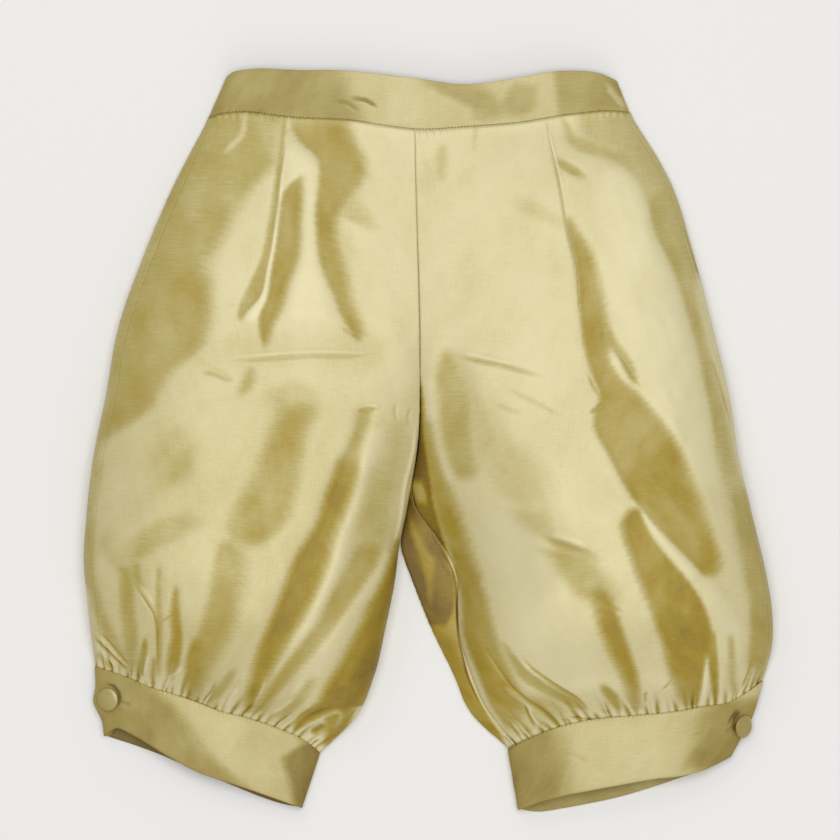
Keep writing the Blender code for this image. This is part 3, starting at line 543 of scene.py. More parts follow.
# %% Patches of the wearer's left leg
LEFT_LEG_PATCHES = [Patch(*row) for row in (
    # below the waist and down the outer side
    (-0.22, 0.0, 12, 8, (
        (170, 604, 640), (200, 604, 646), (300, 612, 678), (400, 648, 702), (480, 698, 714))),
    (0.36, -1.2, 6, 4, (
        (104, 578, 800), (130, 580, 800), (146, 590, 800), (155, 602, 800), (161, 620, 800),
        (167, 630, 800), (176, 637, 800), (186, 642, 800), (200, 645, 800), (220, 650, 800),
        (235, 654, 800), (250, 662, 698), (262, 670, 697), (275, 676, 695), (290, 680, 695),
        (305, 683, 697), (320, 688, 701), (335, 692, 704), (350, 698, 708), (365, 700, 712),
        (380, 703, 718), (400, 709, 723), (420, 711, 727), (440, 714, 731), (460, 716, 735),
        (480, 720, 740), (500, 724, 748), (520, 729, 800), (540, 733, 800), (560, 738, 800),
        (580, 742, 800), (600, 748, 800), (615, 752, 800), (635, 750, 800), (655, 748, 800),
        (690, 752, 800))),
    (0.52, -0.4, 3, 6, (
        (196, 648, 658), (220, 652, 664), (238, 656, 668), (262, 671, 680), (290, 681, 688),
        (320, 689, 697), (350, 699, 706), (380, 704, 712), (420, 712, 719), (450, 716, 724))),
    (0.40, -0.8, 3, 3, ((118, 560, 566), (128, 564, 571), (138, 568, 574))),
    (0.38, -0.8, 6, 8, ((134, 560, 578), (142, 566, 596), (150, 578, 620), (158, 596, 640))),
    (0.55, -0.9, 3, 4, ((158, 556, 562), (164, 557, 570), (170, 563, 580), (178, 576, 586))),
    # the long band that runs from the dart to the knee
    (0.80, -2.2, 3, 6, (
        (218, 565, 569), (235, 568, 578), (245, 570, 588), (255, 573, 592), (265, 575, 594),
        (275, 576.5, 598), (290, 577.5, 601), (305, 578, 603), (320, 580, 605), (335, 581, 610),
        (348, 583, 608), (360, 586, 606), (375, 591, 618), (390, 597, 634), (400, 603, 643),
        (407, 599, 646), (414, 588, 656), (425, 591, 664), (438, 596, 672), (450, 606, 680),
        (465, 612, 686), (480, 620, 691), (495, 628, 698), (510, 640, 702), (525, 652, 707),
        (540, 668, 712), (552, 680, 718), (562, 690, 722), (574, 702, 716))),
    (0.66, -0.6, 3, 4, (
        (328, 600, 609), (340, 604, 615), (350, 611, 622), (360, 617, 629), (372, 623, 634),
        (384, 630, 636))),
    (-0.30, 0.5, 4, 4, ((352, 607, 613), (362, 609, 618), (376, 616, 625), (388, 626, 634))),
    (1.08, -2.2, 5, 2.5, (
        (508, 629, 637), (520, 618, 641), (535, 622, 649), (550, 626, 660), (565, 632, 673),
        (577, 636, 684), (590, 642, 693), (600, 646, 700), (615, 652, 706), (630, 656, 710),
        (645, 662, 713), (660, 665, 704), (675, 668, 702), (690, 676, 700), (708, 684, 696))),
    (-0.22, 0.8, 4, 4, (
        (500, 632, 641), (520, 645, 655), (535, 656, 668), (550, 667, 679), (565, 680, 693),
        (580, 691, 708), (600, 708, 724), (625, 716, 738), (660, 722, 738))),
    (1.0, -1.6, 2, 2, (
        (632, 706, 713), (650, 706, 715), (670, 708, 717), (690, 711, 717), (706, 714, 717))),
    (-0.40, 0.8, 1.5, 1.5, ((652, 703, 706), (675, 702, 706), (700, 702, 705))),
    (0.45, -1.0, 3, 3, ((634, 725, 732), (655, 726, 734), (678, 728, 735), (694, 731, 738))),
    (-0.14, 0.0, 14, 12, ((500, 486, 530), (560, 492, 560), (640, 520, 588), (690, 560, 600))),
    (0.62, 0.0, 4, 4, (
        (490, 730, 800), (540, 738, 800), (600, 750, 800), (660, 748, 800), (704, 750, 800))),
    # gathers towards the inner side
    (0.50, -0.9, 10, 10, (
        (548, 536, 580), (556, 548, 586), (572, 556, 604), (588, 570, 612), (602, 584, 616))),
    (0.98, -2.2, 6, 4, (
        (588, 588, 602), (602, 592, 611), (630, 599, 621), (650, 607, 628), (670, 618, 635),
        (690, 626, 639), (712, 633, 641))),
    (0.68, -1.2, 4, 3, (
        (642, 502, 505), (652, 506, 512), (662, 510, 522), (672, 516, 534), (682, 526, 550),
        (692, 542, 568), (702, 562, 582), (710, 576, 588))),
    (1.0, -1.2, 3, 3, ((684, 598, 606), (694, 603, 616), (704, 611, 620), (712, 617, 621))),
    (0.55, -0.8, 3, 3, ((678, 672, 678), (692, 676, 682), (708, 678, 684))),
    # the back panel that shows between the legs, in painted brown shade, and the painted shade of the valley
    # above it
    (1.05, 0.0, 3, 2, (
        (480, 380, 405), (545, 380, 434), (578, 380, 455), (635, 380, 457), (680, 380, 468),
        (708, 380, 482), (750, 380, 510))),
    (1.60, -0.3, 3, 2, (
        (486, 380, 406), (520, 380, 417), (545, 380, 434), (560, 380, 444), (578, 380, 455),
        (600, 380, 455), (616, 380, 452), (626, 380, 446))),
    (-0.45, 0.5, 2.5, 3, (
        (508, 407, 411), (522, 409, 420), (534, 411, 429), (545, 415, 434), (560, 421, 435),
        (575, 424, 433), (592, 427, 432), (604, 429, 432))),
    (1.50, -1.2, 2, 3, (
        (380, 412, 420), (400, 405, 422.5), (420, 400, 424), (440, 400, 425), (460, 400, 428),
        (480, 400, 431), (498, 402, 433), (512, 408, 436), (530, 416, 441), (550, 426, 446),
        (566, 438, 450))),
    (0.45, -0.3, 5, 6, ((694, 506, 548), (708, 508, 566), (722, 510, 570), (736, 512, 560))),
    (-0.8, 0.2, 2, 2, ((482, 411, 421), (493, 414, 425), (503, 417, 427))),
    # the painted shade of the inner side, and the painted olive strip beside the inseam
    (0.82, -1.0, 3, 6, (
        (570, 454, 476), (590, 460, 483), (600, 462, 486), (615, 462, 489), (630, 462, 493),
        (645, 466, 499), (660, 472, 505), (675, 478, 511), (690, 484, 519), (705, 490, 523),
        (716, 498, 520), (728, 506, 514))),
    (0.62, -0.6, 2, 2, (
        (622, 472, 480), (640, 482, 490), (656, 490, 498), (672, 498, 506), (688, 506, 514),
        (702, 516, 526))),
    (0.58, -1.0, 5, 8, (
        (350, 442, 450), (370, 437, 461), (385, 436, 468), (400, 439, 470), (420, 440, 470),
        (440, 443, 471), (455, 446, 474), (468, 450, 478), (478, 456, 476))),
    (0.26, -0.7, 10, 14, (
        (356, 446, 460), (400, 464, 482), (430, 470, 500), (455, 474, 526), (475, 486, 548),
        (492, 500, 550), (506, 516, 546))),
    (0.30, -0.7, 12, 10, ((508, 506, 548), (522, 516, 552), (536, 532, 552))),
    (0.42, -0.8, 5, 6, ((534, 538, 552), (542, 545, 570), (550, 560, 590), (558, 578, 600))),
    (0.80, -0.8, 3, 8, (
        (420, 421, 431), (450, 424, 437), (470, 427, 443), (490, 431, 450), (510, 436, 457),
        (530, 442, 464), (545, 448, 469), (560, 453, 474), (578, 457, 478))),
    (-0.26, 0.7, 4, 4, (
        (380, 424, 431), (405, 428, 434), (430, 433, 438), (460, 438, 445), (482, 446, 454))),
    # faint painted shade on the level front
    (0.34, -0.4, 5, 5, ((144, 440, 446), (158, 435, 447), (172, 436, 445), (182, 440, 445))),
    (0.14, -0.2, 8, 8, ((156, 420, 430), (176, 419, 440), (196, 418, 430))),
    (0.26, -0.3, 3, 3, ((118, 473, 479), (134, 473, 477), (150, 471, 475))),
    (0.18, -0.4, 8, 8, ((198, 508, 530), (208, 516, 548), (218, 536, 562), (226, 552, 566))),
    (0.12, -0.3, 6, 6, ((232, 544, 552), (256, 550, 558), (276, 553, 560))),
    (0.10, -0.3, 10, 10, ((220, 464, 482), (270, 460, 476), (316, 450, 468))),
)]
print("patches of the left leg:", len(LEFT_LEG_PATCHES))

# %% Patches of the bands
WAISTBAND_PATCHES = [Patch(*row) for row in (
    (0.60, 0.0, 4, 12, ((60, 190, 338), (85, 190, 346), (100, 190, 354), (125, 190, 360))),
    (0.74, -0.2, 20, 20, ((98, 230, 330), (112, 210, 340), (125, 205, 344))),
    (0.44, -0.6, 8, 10, (
        (74, 424, 470), (84, 427, 476), (92, 438, 488), (100, 458, 498), (110, 476, 506), (122, 476, 494))),
    (0.50, -0.5, 6, 6, ((84, 514, 536), (96, 507, 536), (106, 504, 534), (116, 508, 526))),
    (0.48, -0.2, 4, 3, ((60, 553, 640), (90, 556, 640), (105, 558, 640), (125, 560, 640))),
    (-0.55, 0.3, 2, 3, ((84, 606, 611), (92, 608, 617), (100, 615, 624), (108, 622, 627))),
    (-0.10, 0.2, 6, 6, ((66, 384, 412), (95, 388, 420), (124, 390, 424))),
)]
KNEE_BAND_PATCHES = [Patch(*row) for row in (
    (0.80, -0.3, 5, 9, (
        (650, 60, 120), (680, 60, 146), (697, 60, 160), (710, 60, 177), (730, 60, 192), (746, 60, 201),
        (761, 60, 214), (773, 60, 229), (786, 60, 243), (812, 60, 264))),
    (0.22, -0.4, 16, 16, ((726, 246, 262), (748, 240, 266), (772, 238, 262))),
    (1.15, -0.6, 5, 4, (
        (742, 306, 345), (757, 284, 345), (766, 284, 345), (780, 290, 345), (795, 293, 345),
        (812, 295, 345))),
    (0.55, -0.3, 6, 6, ((734, 298, 330), (746, 302, 330))),
    (-0.12, 0.3, 10, 10, ((716, 200, 236), (745, 212, 246), (775, 236, 272))),
    (0.90, -0.3, 4, 12, (
        (728, 496, 556), (745, 496, 562), (770, 496, 566), (792, 496, 566), (815, 496, 548))),
    (0.92, -0.3, 12, 5, (
        (700, 716, 790), (715, 704, 790), (730, 700, 790), (745, 697, 790), (755, 690, 790),
        (770, 688, 790))),
    (-0.10, 0.3, 12, 12, ((724, 580, 660), (750, 580, 670), (785, 580, 660))),
)]
print("patches of the bands:", len(WAISTBAND_PATCHES), "and", len(KNEE_BAND_PATCHES))

# %% Creases
Crease = namedtuple("Crease", "tone lift width points")
RIGHT_LEG_CREASES = [Crease(*row) for row in (
    (0.75, -0.7, 1.0, (
        (287, 121), (285.5, 140), (282, 162), (279, 182), (277.5, 205), (274, 226), (271, 246), (268, 266),
        (264, 284))),
    (0.50, -0.6, 1.6, ((219, 361), (266, 359), (310, 355.5), (355, 356.5), (388, 352))),
    (-0.12, 0.3, 2.0, ((222, 357), (266, 355), (310, 352), (355, 353), (380, 350))),
    (0.45, -0.6, 1.8, ((200, 370), (216, 374), (234, 382))),
    (0.26, -0.4, 1.6, ((206, 364), (222, 372), (240, 385))),
    (0.30, -0.5, 1.4, ((338, 325), (352, 333), (366, 341))),
    (0.60, -0.6, 1.7, ((357, 412), (364, 410), (380, 409))),
    (-0.22, 0.5, 1.8, ((358, 408), (368, 406), (382, 406))),
    (-0.50, 0.8, 1.8, ((417, 410), (414, 449), (405, 486), (399, 529), (390, 558))),
    (0.35, -0.4, 1.6, ((412, 404), (408, 416), (409, 430))),
    (0.25, -0.4, 1.6, ((397, 402), (395, 412), (398, 424))),
    (1.15, -0.8, 1.1, ((92, 633), (104, 647), (118, 661), (131, 675))),
    (-0.35, 0.8, 1.6, ((95, 630), (108, 645), (121, 659), (132, 671))),
    (0.95, -0.8, 1.1, ((98, 628), (112, 644), (124, 659), (133, 671))),
    (-0.30, 0.6, 1.8, ((94, 640), (104, 654), (117, 668))),
    (0.60, -0.7, 3.5, ((95, 650), (102, 662), (113, 672))),
    (0.95, -0.8, 1.0, ((133, 578), (146, 596), (156, 612), (159, 626), (159, 650), (158, 676))),
    (-0.20, 0.3, 1.4, ((137, 578), (150, 594), (159, 609))),
    (0.55, -0.4, 1.0, ((162, 622), (170, 616), (176, 613))),
    (-0.40, 0.9, 1.6, ((151, 650), (147, 662), (144, 678))),
    (-0.40, 0.9, 1.6, ((184, 664), (177, 672), (164, 680))),
    (-0.45, 0.9, 1.8, ((268, 672), (262, 690), (250, 712))),
    (-0.35, 0.9, 2.0, ((240, 684), (232, 696), (222, 712))),
    (-0.35, 0.8, 2.0, ((298, 694), (284, 706), (268, 716))),
    # the small loop of cloth at the inner end of the knee seam
    (1.20, -1.2, 1.2, ((291, 738), (297, 726), (306, 718), (322, 711), (338, 705))),
    (-0.55, 1.5, 2.4, ((297, 740), (304, 728), (316, 719), (336, 711), (342, 712), (338, 722), (328, 734))),
    (1.30, -1.3, 3.4, ((309, 735), (316, 730), (327, 724))),
    (-0.45, 1.0, 1.8, ((312, 741), (322, 738), (332, 729))),
    (1.15, -0.9, 1.2, ((322, 746), (338, 734), (350, 718), (362, 698))),
)]
LEFT_LEG_CREASES = [Crease(*row) for row in (
    (1.9, -0.3, 1.1, (
        (424, 512), (436, 545), (449, 562), (456, 580), (457.5, 635), (468, 680), (482, 708), (500, 736))),
    (0.42, -0.5, 0.9, (
        (546, 124), (548, 140), (551, 152), (556, 172), (560, 192), (563, 212), (567, 232), (572, 252),
        (575, 268), (577, 300))),
    (-0.25, 0.4, 1.5, ((549, 124), (551, 140), (554, 152), (559, 172), (563, 192))),
    (0.55, -0.8, 1.6, ((444, 355), (470, 360), (502, 366), (530, 373), (552, 378))),
    (-0.16, 0.5, 2.2, ((448, 351), (480, 357), (520, 367))),
    (0.30, -0.4, 1.8, ((500, 386), (530, 400), (566, 418))),
    (0.26, -0.4, 2.0, ((488, 402), (508, 410), (526, 414))),
    (0.55, -0.7, 1.8, ((540, 537), (560, 545), (588, 554))),
    (-0.20, 0.4, 2.2, ((540, 532), (562, 538), (592, 548))),
    (0.75, -0.9, 1.6, ((587, 414), (594, 410), (606, 402))),
    (0.50, -0.5, 1.2, ((600, 398), (592, 386), (586, 372))),
    (0.60, -0.5, 1.1, ((612, 347), (622, 360), (634, 380), (643, 390))),
    (0.80, -0.6, 1.0, ((682, 222), (690, 244), (698, 270), (703, 286))),
    (0.50, -0.5, 1.1, ((706, 350), (714, 366), (722, 392), (731, 426))),
    (0.95, -0.9, 1.2, ((517, 651), (532, 668), (552, 682), (576, 697), (585, 706), (588, 716))),
    (-0.35, 0.9, 2.0, ((512, 652), (526, 668), (548, 684), (572, 698))),
    (1.00, -0.9, 1.3, ((478, 634), (486, 650), (498, 668), (511, 686), (528, 700), (546, 712), (562, 726))),
    (-0.35, 0.9, 2.4, ((500, 682), (510, 692), (524, 702), (540, 714))),
    (-0.50, 1.1, 1.8, ((526, 704), (533, 717), (542, 730))),
    (1.10, -0.9, 1.2, ((523, 702), (529, 716), (536, 730))),
    (0.85, -0.7, 1.1, ((566, 716), (580, 719), (600, 720))),
    (-0.45, 1.0, 1.8, ((510, 722), (520, 730), (527, 738))),
    (0.95, -0.8, 1.2, ((506, 722), (514, 730), (522, 740))),
    (0.55, -0.6, 1.2, ((496, 716), (508, 718), (520, 722))),
    (0.70, -0.6, 1.2, ((586, 590), (602, 602), (624, 612))),
    (0.60, -0.6, 1.1, ((660, 690), (668, 682), (674, 676))),
    (0.85, -0.7, 1.1, ((645, 704), (644, 694), (647, 690))),
    (0.75, -0.7, 1.2, ((712, 668), (716, 684), (718, 702))),
    (0.80, -0.7, 1.2, ((752, 656), (749, 668), (741, 692))),
    (-0.35, 0.8, 1.6, ((755, 660), (752, 676), (746, 692))),
)]
WAISTBAND_CREASES = [Crease(*row) for row in (
    (0.95, -0.8, 1.4, ((333, 100), (348, 103), (361, 112))),
    (1.10, -0.9, 1.4, ((349, 97), (366, 100), (380, 108))),
    (-0.30, 0.4, 1.3, ((336, 103), (350, 106), (360, 116))),
    (-0.20, 0.4, 1.4, ((356, 101), (368, 104), (378, 111))),
)]
KNEE_BAND_CREASES = [Crease(*row) for row in (
    # the shade beside the buttons
    (2.0, -0.4, 1.6, ((103, 683), (113, 686), (118.5, 693), (119.5, 701), (116, 709))),
    (2.2, -0.8, 2.4, ((742, 710), (737, 716), (735, 725), (737, 735))),
    (1.6, -0.5, 1.3, ((740, 708), (733, 716), (727, 727))),
    (0.30, -0.3, 1.5, ((560, 752), (576, 756), (592, 764))),
    (0.80, -0.5, 1.4, ((282, 757), (290, 764), (294, 774))),
)]
print("creases:", len(RIGHT_LEG_CREASES + LEFT_LEG_CREASES + WAISTBAND_CREASES + KNEE_BAND_CREASES))

# %% Pressing the folds into the cloth
FOLD_SPREAD = 9.0
PATCH_PRESS = 0.42
PATCH_END = 8.0
SOFTEN = 2.6
RAGGED = 0.09
RAGGED_UP_TO = 8
LOWER_TONE, LOWER_FROM, LOWER_FADE = 0.14, 320, 160
LEFT_SHARE, LEFT_UNTIL, LEFT_FADE = 0.8, 720, 40
MARGIN = 20
BORDER_BLUR = np.array([1, 2, 3, 4, 5, 4, 3, 2, 1]) / 25


def blurred(values):
    """The values with their corners rounded."""
    return np.convolve(np.pad(values, 4, mode="edge"), BORDER_BLUR, "valid")


def patch_weight(patch, spots, spread=0.0):
    """How much each spot belongs to a patch: 1 inside, half at its traced border."""
    y, left, right = np.array(patch.rows, float).T
    at = y[0] + (y[-1] - y[0]) * np.linspace(0, 1, 80)
    left, right = (blurred(np.interp(at, y, border)) for border in (left, right))
    x, down = spots.T
    ragged = np.sin(2.3 * down + left[0]) + np.sin(1.37 * down + 2 * np.sin(0.21 * down + right[0]))
    left, right = np.interp(down, at, left), np.interp(down, at, right)
    end = PATCH_END + patch.soft_right + spread
    inside = smooth((down - y[0]) / end + 0.5) * smooth((y[-1] - down) / end + 0.5)
    for gap, soft in ((x - left, patch.soft_left), (right - x, patch.soft_right)):
        gap = gap + RAGGED * ragged * min(soft, RAGGED_UP_TO)
        inside *= smooth(gap / (SOFTEN * soft + spread) + 0.5)
    return inside


def crease_line(crease, count=60):
    """Points close together along a crease, with its corners rounded."""
    line = resampled(np.array(crease.points, float), np.linspace(0, 1, count))
    for _ in range(6):
        line[1:-1] = (line[:-2] + 2 * line[1:-1] + line[2:]) / 4
    return line


def crease_weight(crease, spots):
    """How much each spot belongs to a crease: 1 on its line, fading at its sides and thin ends."""
    line = crease_line(crease)
    step = np.gradient(line, axis=0)
    length = np.linalg.norm(step, axis=1)
    i = np.argmin(((spots[:, None] - line[None]) ** 2).sum(2), axis=1)
    gap = spots - line[i]
    along = np.clip((i + (gap * step[i]).sum(1) / length[i] ** 2) / (len(line) - 1), 0, 1)
    away = (step[i, 0] * gap[:, 1] - step[i, 1] * gap[:, 0]) / length[i]
    past = np.maximum(np.abs((gap * step[i]).sum(1) / length[i]) - length[i], 0)
    taper = smooth(along / 0.3) * smooth((1 - along) / 0.3)
    return taper * np.exp(-(away / (crease.width * (0.5 + 0.5 * taper))) ** 2 - (past / crease.width) ** 2)


def relief(plan, patches, creases):
    """The lift in mm and the tone, the painted sheen and shade, that the folds give at points of the plan."""
    spots = on_photo(plan)
    x, down = spots.T
    on_left = smooth((x - SEAM_PIXEL[0]) / LEFT_FADE) * smooth((LEFT_UNTIL - down) / LEFT_FADE)
    tone = LOWER_TONE * smooth((down - LOWER_FROM) / LOWER_FADE) * (1 - LEFT_SHARE * on_left)
    lift = np.zeros(len(spots))

    def lay(weight, fold, near):
        if fold.tone > 0:
            tone[near] += weight * np.maximum(fold.tone - tone[near], 0)
        else:
            tone[near] += fold.tone * weight

    for patch in patches:
        y = [row[0] for row in patch.rows]
        near = (down > min(y) - MARGIN) & (down < max(y) + MARGIN)
        if near.any():
            lay(patch_weight(patch, spots[near]), patch, near)
            lift[near] += PATCH_PRESS * patch.lift * patch_weight(patch, spots[near], FOLD_SPREAD)
    for crease in creases:
        line = crease_line(crease)
        reach = 3.0 * crease.width
        near = ((spots > line.min(0) - reach) & (spots < line.max(0) + reach)).all(1)
        if near.any():
            weight = crease_weight(crease, spots[near])
            lay(weight, crease, near)
            lift[near] += crease.lift * weight
    return lift, tone


def relief_on(grid, patches, creases):
    """The folds' lift and tone, their painted sheen and shade, at each point of a grid."""
    return [v.reshape(grid.shape[:2]) for v in relief(grid.reshape(-1, 3)[:, :2], patches, creases)]


trough = relief(on_plan([292], [230]), RIGHT_LEG_PATCHES, RIGHT_LEG_CREASES)
print("the golden trough, lift and tone:", [v.round(2).tolist() for v in trough])

# %% [markdown]
# ## Gathers
# A maker draws the knee edge up on two rows of running stitch and sews it to the band. The cloth then stands
# in small pillows with sharp valleys between them, and each runs up the leg as far as it has room. Instanced
# pleats would repeat, so every gather gets its own width, depth, lean and reach from a few sines.

# %% Gathers of the knee edge
GATHERS_FRONT = 32
GATHERS_BACK = 34
GATHER_DEPTH = 2.6
VALLEY_WIDTH = 0.2
VALLEY_SHADE = 1.5
PILLOW_HIGHLIGHT = -0.3


def gather_edges(count):
    """The shares of the seam where each gather starts, of uneven widths."""
    k = np.arange(count)
    widths = 1 + 0.45 * np.sin(2.4 * k + 0.7) + 0.3 * np.sin(5.1 * k)
    return np.concatenate([[0.0], np.cumsum(widths)]) / widths.sum()


def gathers(shares, to_seam, count, seed):
    """The lift and the painted shade and highlight at shares along a row that lies to_seam mm above the knee
    seam.
    """
    edges = gather_edges(count)
    lean = shares + 0.008 * np.sin(shares * 37 + seed) * smooth(to_seam / 15)
    k = np.clip(np.searchsorted(edges, lean, side="right") - 1, 0, count - 1)
    inside = (lean - edges[k]) / (edges[k + 1] - edges[k])
    lift, tone = np.zeros(len(shares)), np.zeros(len(shares))
    for side in (0, 1):
        valley = k + side
        reach = np.maximum(8.0 + 5.0 * np.sin(1.9 * valley + seed) + 4.5 * np.sin(4.3 * valley), 3.0)
        depth = 0.66 + 0.34 * np.sin(3.3 * valley + seed)
        sharp = np.exp(-((np.abs(inside - side) / VALLEY_WIDTH) ** 1.3))
        fade = np.exp(-((to_seam / reach) ** 1.7))
        lift -= GATHER_DEPTH * depth * sharp * fade * (0.35 + 0.65 * smooth(to_seam / 2.0))
        # painted shade in each valley and a painted highlight on each pillow
        tone += VALLEY_SHADE * depth * sharp * fade + PILLOW_HIGHLIGHT * (1 - sharp) * fade
    # the crinkles by the seam get a little painted sheen and shade
    crinkle = np.sin(shares * count * 15.7 + 3 * np.sin(shares * 31 + seed)) * np.exp(-((to_seam / 2.6) ** 2))
    return lift + 0.2 * crinkle, tone + 0.12 * crinkle


deepest = gathers(np.linspace(0, 1, 400), 2.0, GATHERS_FRONT, 1.0)[0].min()
print("gathers on each front:", GATHERS_FRONT, "deepest in mm:", round(float(deepest), 2))

# %% [markdown]
# ## From a grid to a cloth
# Every panel is a grid of points with a normal at each. The wall of the cloth is two such grids a fraction of
# a millimetre apart, joined round the rim. The inner one, which is hardly seen, has a quarter of the points
# and keeps below the deepest fold near it. Towards each edge the wall thins, so two panels that meet show the
# fine groove of a pressed seam.

# %% Grid helpers
def directions(grid, axis):
    """At each point of a grid, the mean of the unit steps before and after it."""
    step = np.diff(grid, axis=axis)
    step = step / np.maximum(np.linalg.norm(step, axis=2, keepdims=True), 1e-6)
    first, last = np.take(step, [0], axis=axis), np.take(step, [-1], axis=axis)
    return np.concatenate([first, step], axis=axis) + np.concatenate([step, last], axis=axis)


def surface_normals(grid):
    normal = np.cross(directions(grid, 1), directions(grid, 0))
    return normal / np.maximum(np.linalg.norm(normal, axis=2, keepdims=True), 1e-9)


def run_along(grid, axis):
    """The distance in mm of each point from its line's first one, and from its last one."""
    step = np.linalg.norm(np.diff(grid, axis=axis), axis=2)
    zero = np.zeros_like(np.take(step, [0], axis=axis))
    run = np.concatenate([zero, np.cumsum(step, axis=axis)], axis=axis)
    return run, np.take(run, [-1], axis=axis) - run


def edge_runs(grid):
    """The distances in mm along each row from its first and last point, and along each column likewise."""
    return (*run_along(grid, 1), *run_along(grid, 0))


def fine_ends(margin, count):
    """Shares from 0 to 1 that lie close together in a margin at each end."""
    ends = np.linspace(0, margin, 5)
    return np.concatenate([ends[:-1], np.linspace(margin, 1 - margin, count), (1 - ends[::-1])[1:]])


def bell(distance, reach):
    """1 at no distance, falling to nothing past the reach."""
    return np.exp(-((distance / reach) ** 2))


def lowest_near(values):
    """At each point of a grid, the lowest value of it and its eight neighbours."""
    rows, columns = values.shape
    padded = np.pad(values, 1, mode="edge")
    return np.min([padded[i:i + rows, j:j + columns] for i in range(3) for j in range(3)], axis=0)


# %% The wall of a cloth
# painted brown shade on the inner wall of every cloth, where little light reaches
INNER_SHADE = 1.3
SINK = 0.14
LEAST_Z = 0.03


def shell_faces(rows, columns):
    """Faces of an outer grid, of an inner grid of every second point, and of the rim between them."""
    outer = np.arange(rows * columns).reshape(rows, columns)
    inner = np.arange(((rows + 1) // 2) * ((columns + 1) // 2)).reshape((rows + 1) // 2, -1) + rows * columns
    faces = []
    for grid, turn in ((outer, 1), (inner, -1)):
        quads = np.stack([grid[:-1, :-1], grid[:-1, 1:], grid[1:, 1:], grid[1:, :-1]], -1).reshape(-1, 4)
        faces += quads[:, ::turn].tolist()
    for wide, narrow, turn in (
        (outer[0], inner[0], -1), (outer[-1], inner[-1], 1),
        (outer[:, 0], inner[:, 0], 1), (outer[:, -1], inner[:, -1], -1),
    ):
        rim = np.stack([wide[:-2:2], wide[1:-1:2], wide[2::2], narrow[1:], narrow[:-1]], -1)
        faces += rim[:, ::turn].tolist()
    return faces


def weave_and_tone(mesh, flat, tones):
    """The mesh gets its weave map, in metres, and its tone, the painted sheen and shade, at each point."""
    corner = np.zeros(len(mesh.loops), int)
    mesh.loops.foreach_get("vertex_index", corner)
    mesh.uv_layers.new(name="weave").data.foreach_set("uv", flat[corner].ravel())
    mesh.attributes.new("tone", "FLOAT", "POINT").data.foreach_set("value", np.array(tones, np.float32))
    mesh.shade_smooth()


def cloth_shell(name, base, normals, lift, thickness, tone, inner_shade=INNER_SHADE):
    """A closed wall of cloth on a grid in mm."""
    rows, columns = base.shape[:2]
    outer = base + normals * lift[..., None]
    run_u, rest_u, run_v, rest_v = edge_runs(outer)
    edge = np.minimum(np.minimum(run_u, rest_u), np.minimum(run_v, rest_v)) / thickness
    sunk = SINK * thickness * (1 - np.sqrt(1 - (1 - np.clip(edge, 0.0, 1.0)) ** 2))
    inner = (base + normals * (lowest_near(lift) - thickness + sunk)[..., None])[::2, ::2]
    outer = outer - normals * sunk[..., None]
    outer[..., 2] = np.maximum(outer[..., 2], 0.0)
    inner[..., 2] = np.maximum(inner[..., 2], LEAST_Z)
    i, j = rows // 2, columns // 2
    face_normal = np.cross(outer[i, j + 1] - outer[i, j], outer[i + 1, j] - outer[i, j])
    turn = 1 if face_normal @ normals[i, j] > 0 else -1
    points = (np.concatenate([outer.reshape(-1, 3), inner.reshape(-1, 3)]) + SHIFT) * MM
    mesh = bpy.data.meshes.new(name)
    mesh.from_pydata(points.tolist(), [], [face[::turn] for face in shell_faces(rows, columns)])
    flat = np.stack([run_u, run_v], -1) * MM
    flat = np.concatenate([flat.reshape(-1, 2), flat[::2, ::2].reshape(-1, 2)])
    # the inner grid gets the painted brown shade
    weave_and_tone(mesh, flat, [*tone.ravel(), *[inner_shade] * (inner.size // 3)])
    triangles = sum(len(face.vertices) - 2 for face in mesh.polygons)
    area = sum(face.area for face in mesh.polygons) / 2
    print(f"{name}: {triangles} triangles, {area:.4f} square metres of cloth")
    return in_scene(name, mesh)


# %% [markdown]
# ## The leg panels
# Two fronts and two backs, cut from the waist to the knee. They are one tube in the making: the rule gives
# the tube's rows, the folds and gathers move its points along their normals, and only then is it cut into
# the panels, so the cloth runs on smoothly over every seam. At the waist and the knee the cloth runs on a
# little way into the band, as sewn cloth does.

# %% Fronts and backs of the legs
CLOTH = 0.8
ROWS = np.concatenate([
    np.linspace(0, 0.02, 7)[:-1], np.linspace(0.02, 0.86, 239)[:-1], np.linspace(0.86, 1.0, 101),
])
FRONT_COLUMNS = fine_ends(0.012, 215)
BACK_COLUMNS = fine_ends(0.01, 171)
SEW_IN = 1.8
SEW_DEEP = 0.75
RIM_HIGHLIGHT, RIM_HIGHLIGHT_LOSS = 0.4, 0.34


def uneven(grid, size, seed):
    """A smooth uneven field over the plan, about -1 to 1, with waves of this size in mm."""
    x, y = grid[..., 0] / size * 6.28, grid[..., 1] / size * 6.28
    broad = np.sin(x * 0.9 + 1.7 * np.sin(y * 0.37 + seed) + seed)
    broad *= np.sin(y * 0.61 + 1.3 * np.sin(x * 0.53 - seed))
    return (broad + 0.5 * np.sin(x * 1.9 - y * 0.7 + 2.1 * seed) * np.sin(y * 1.3 + 0.8 * seed)) / 1.5


def pucker(run, distance, pitch, seed, height=0.16, reach=4.0):
    """Small waves across a seam, strongest on it."""
    wave = np.sin(run / pitch * 6.28 + 2.0 * np.sin(run / 37.0 + seed))
    return height * wave * np.exp(-((distance / reach) ** 1.3)) * (0.5 + 0.5 * np.sin(run / 29.0 + seed * 2))


def sewn_in(base, normals, lift, tone):
    """The grid with one more row at each end, which lies between the band's two layers."""
    first, last = (step / np.linalg.norm(step, axis=2, keepdims=True) * SEW_IN
                   for step in (base[:1] - base[1:2], base[-1:] - base[-2:-1]))
    deep = np.full((1, base.shape[1]), -SEW_DEEP)
    normals, tone = (np.concatenate([v[:1], v, v[-1:]]) for v in (normals, tone))
    base = np.concatenate([base[:1] + first, base, base[-1:] + last])
    return base, normals, np.concatenate([deep, lift, deep]), tone


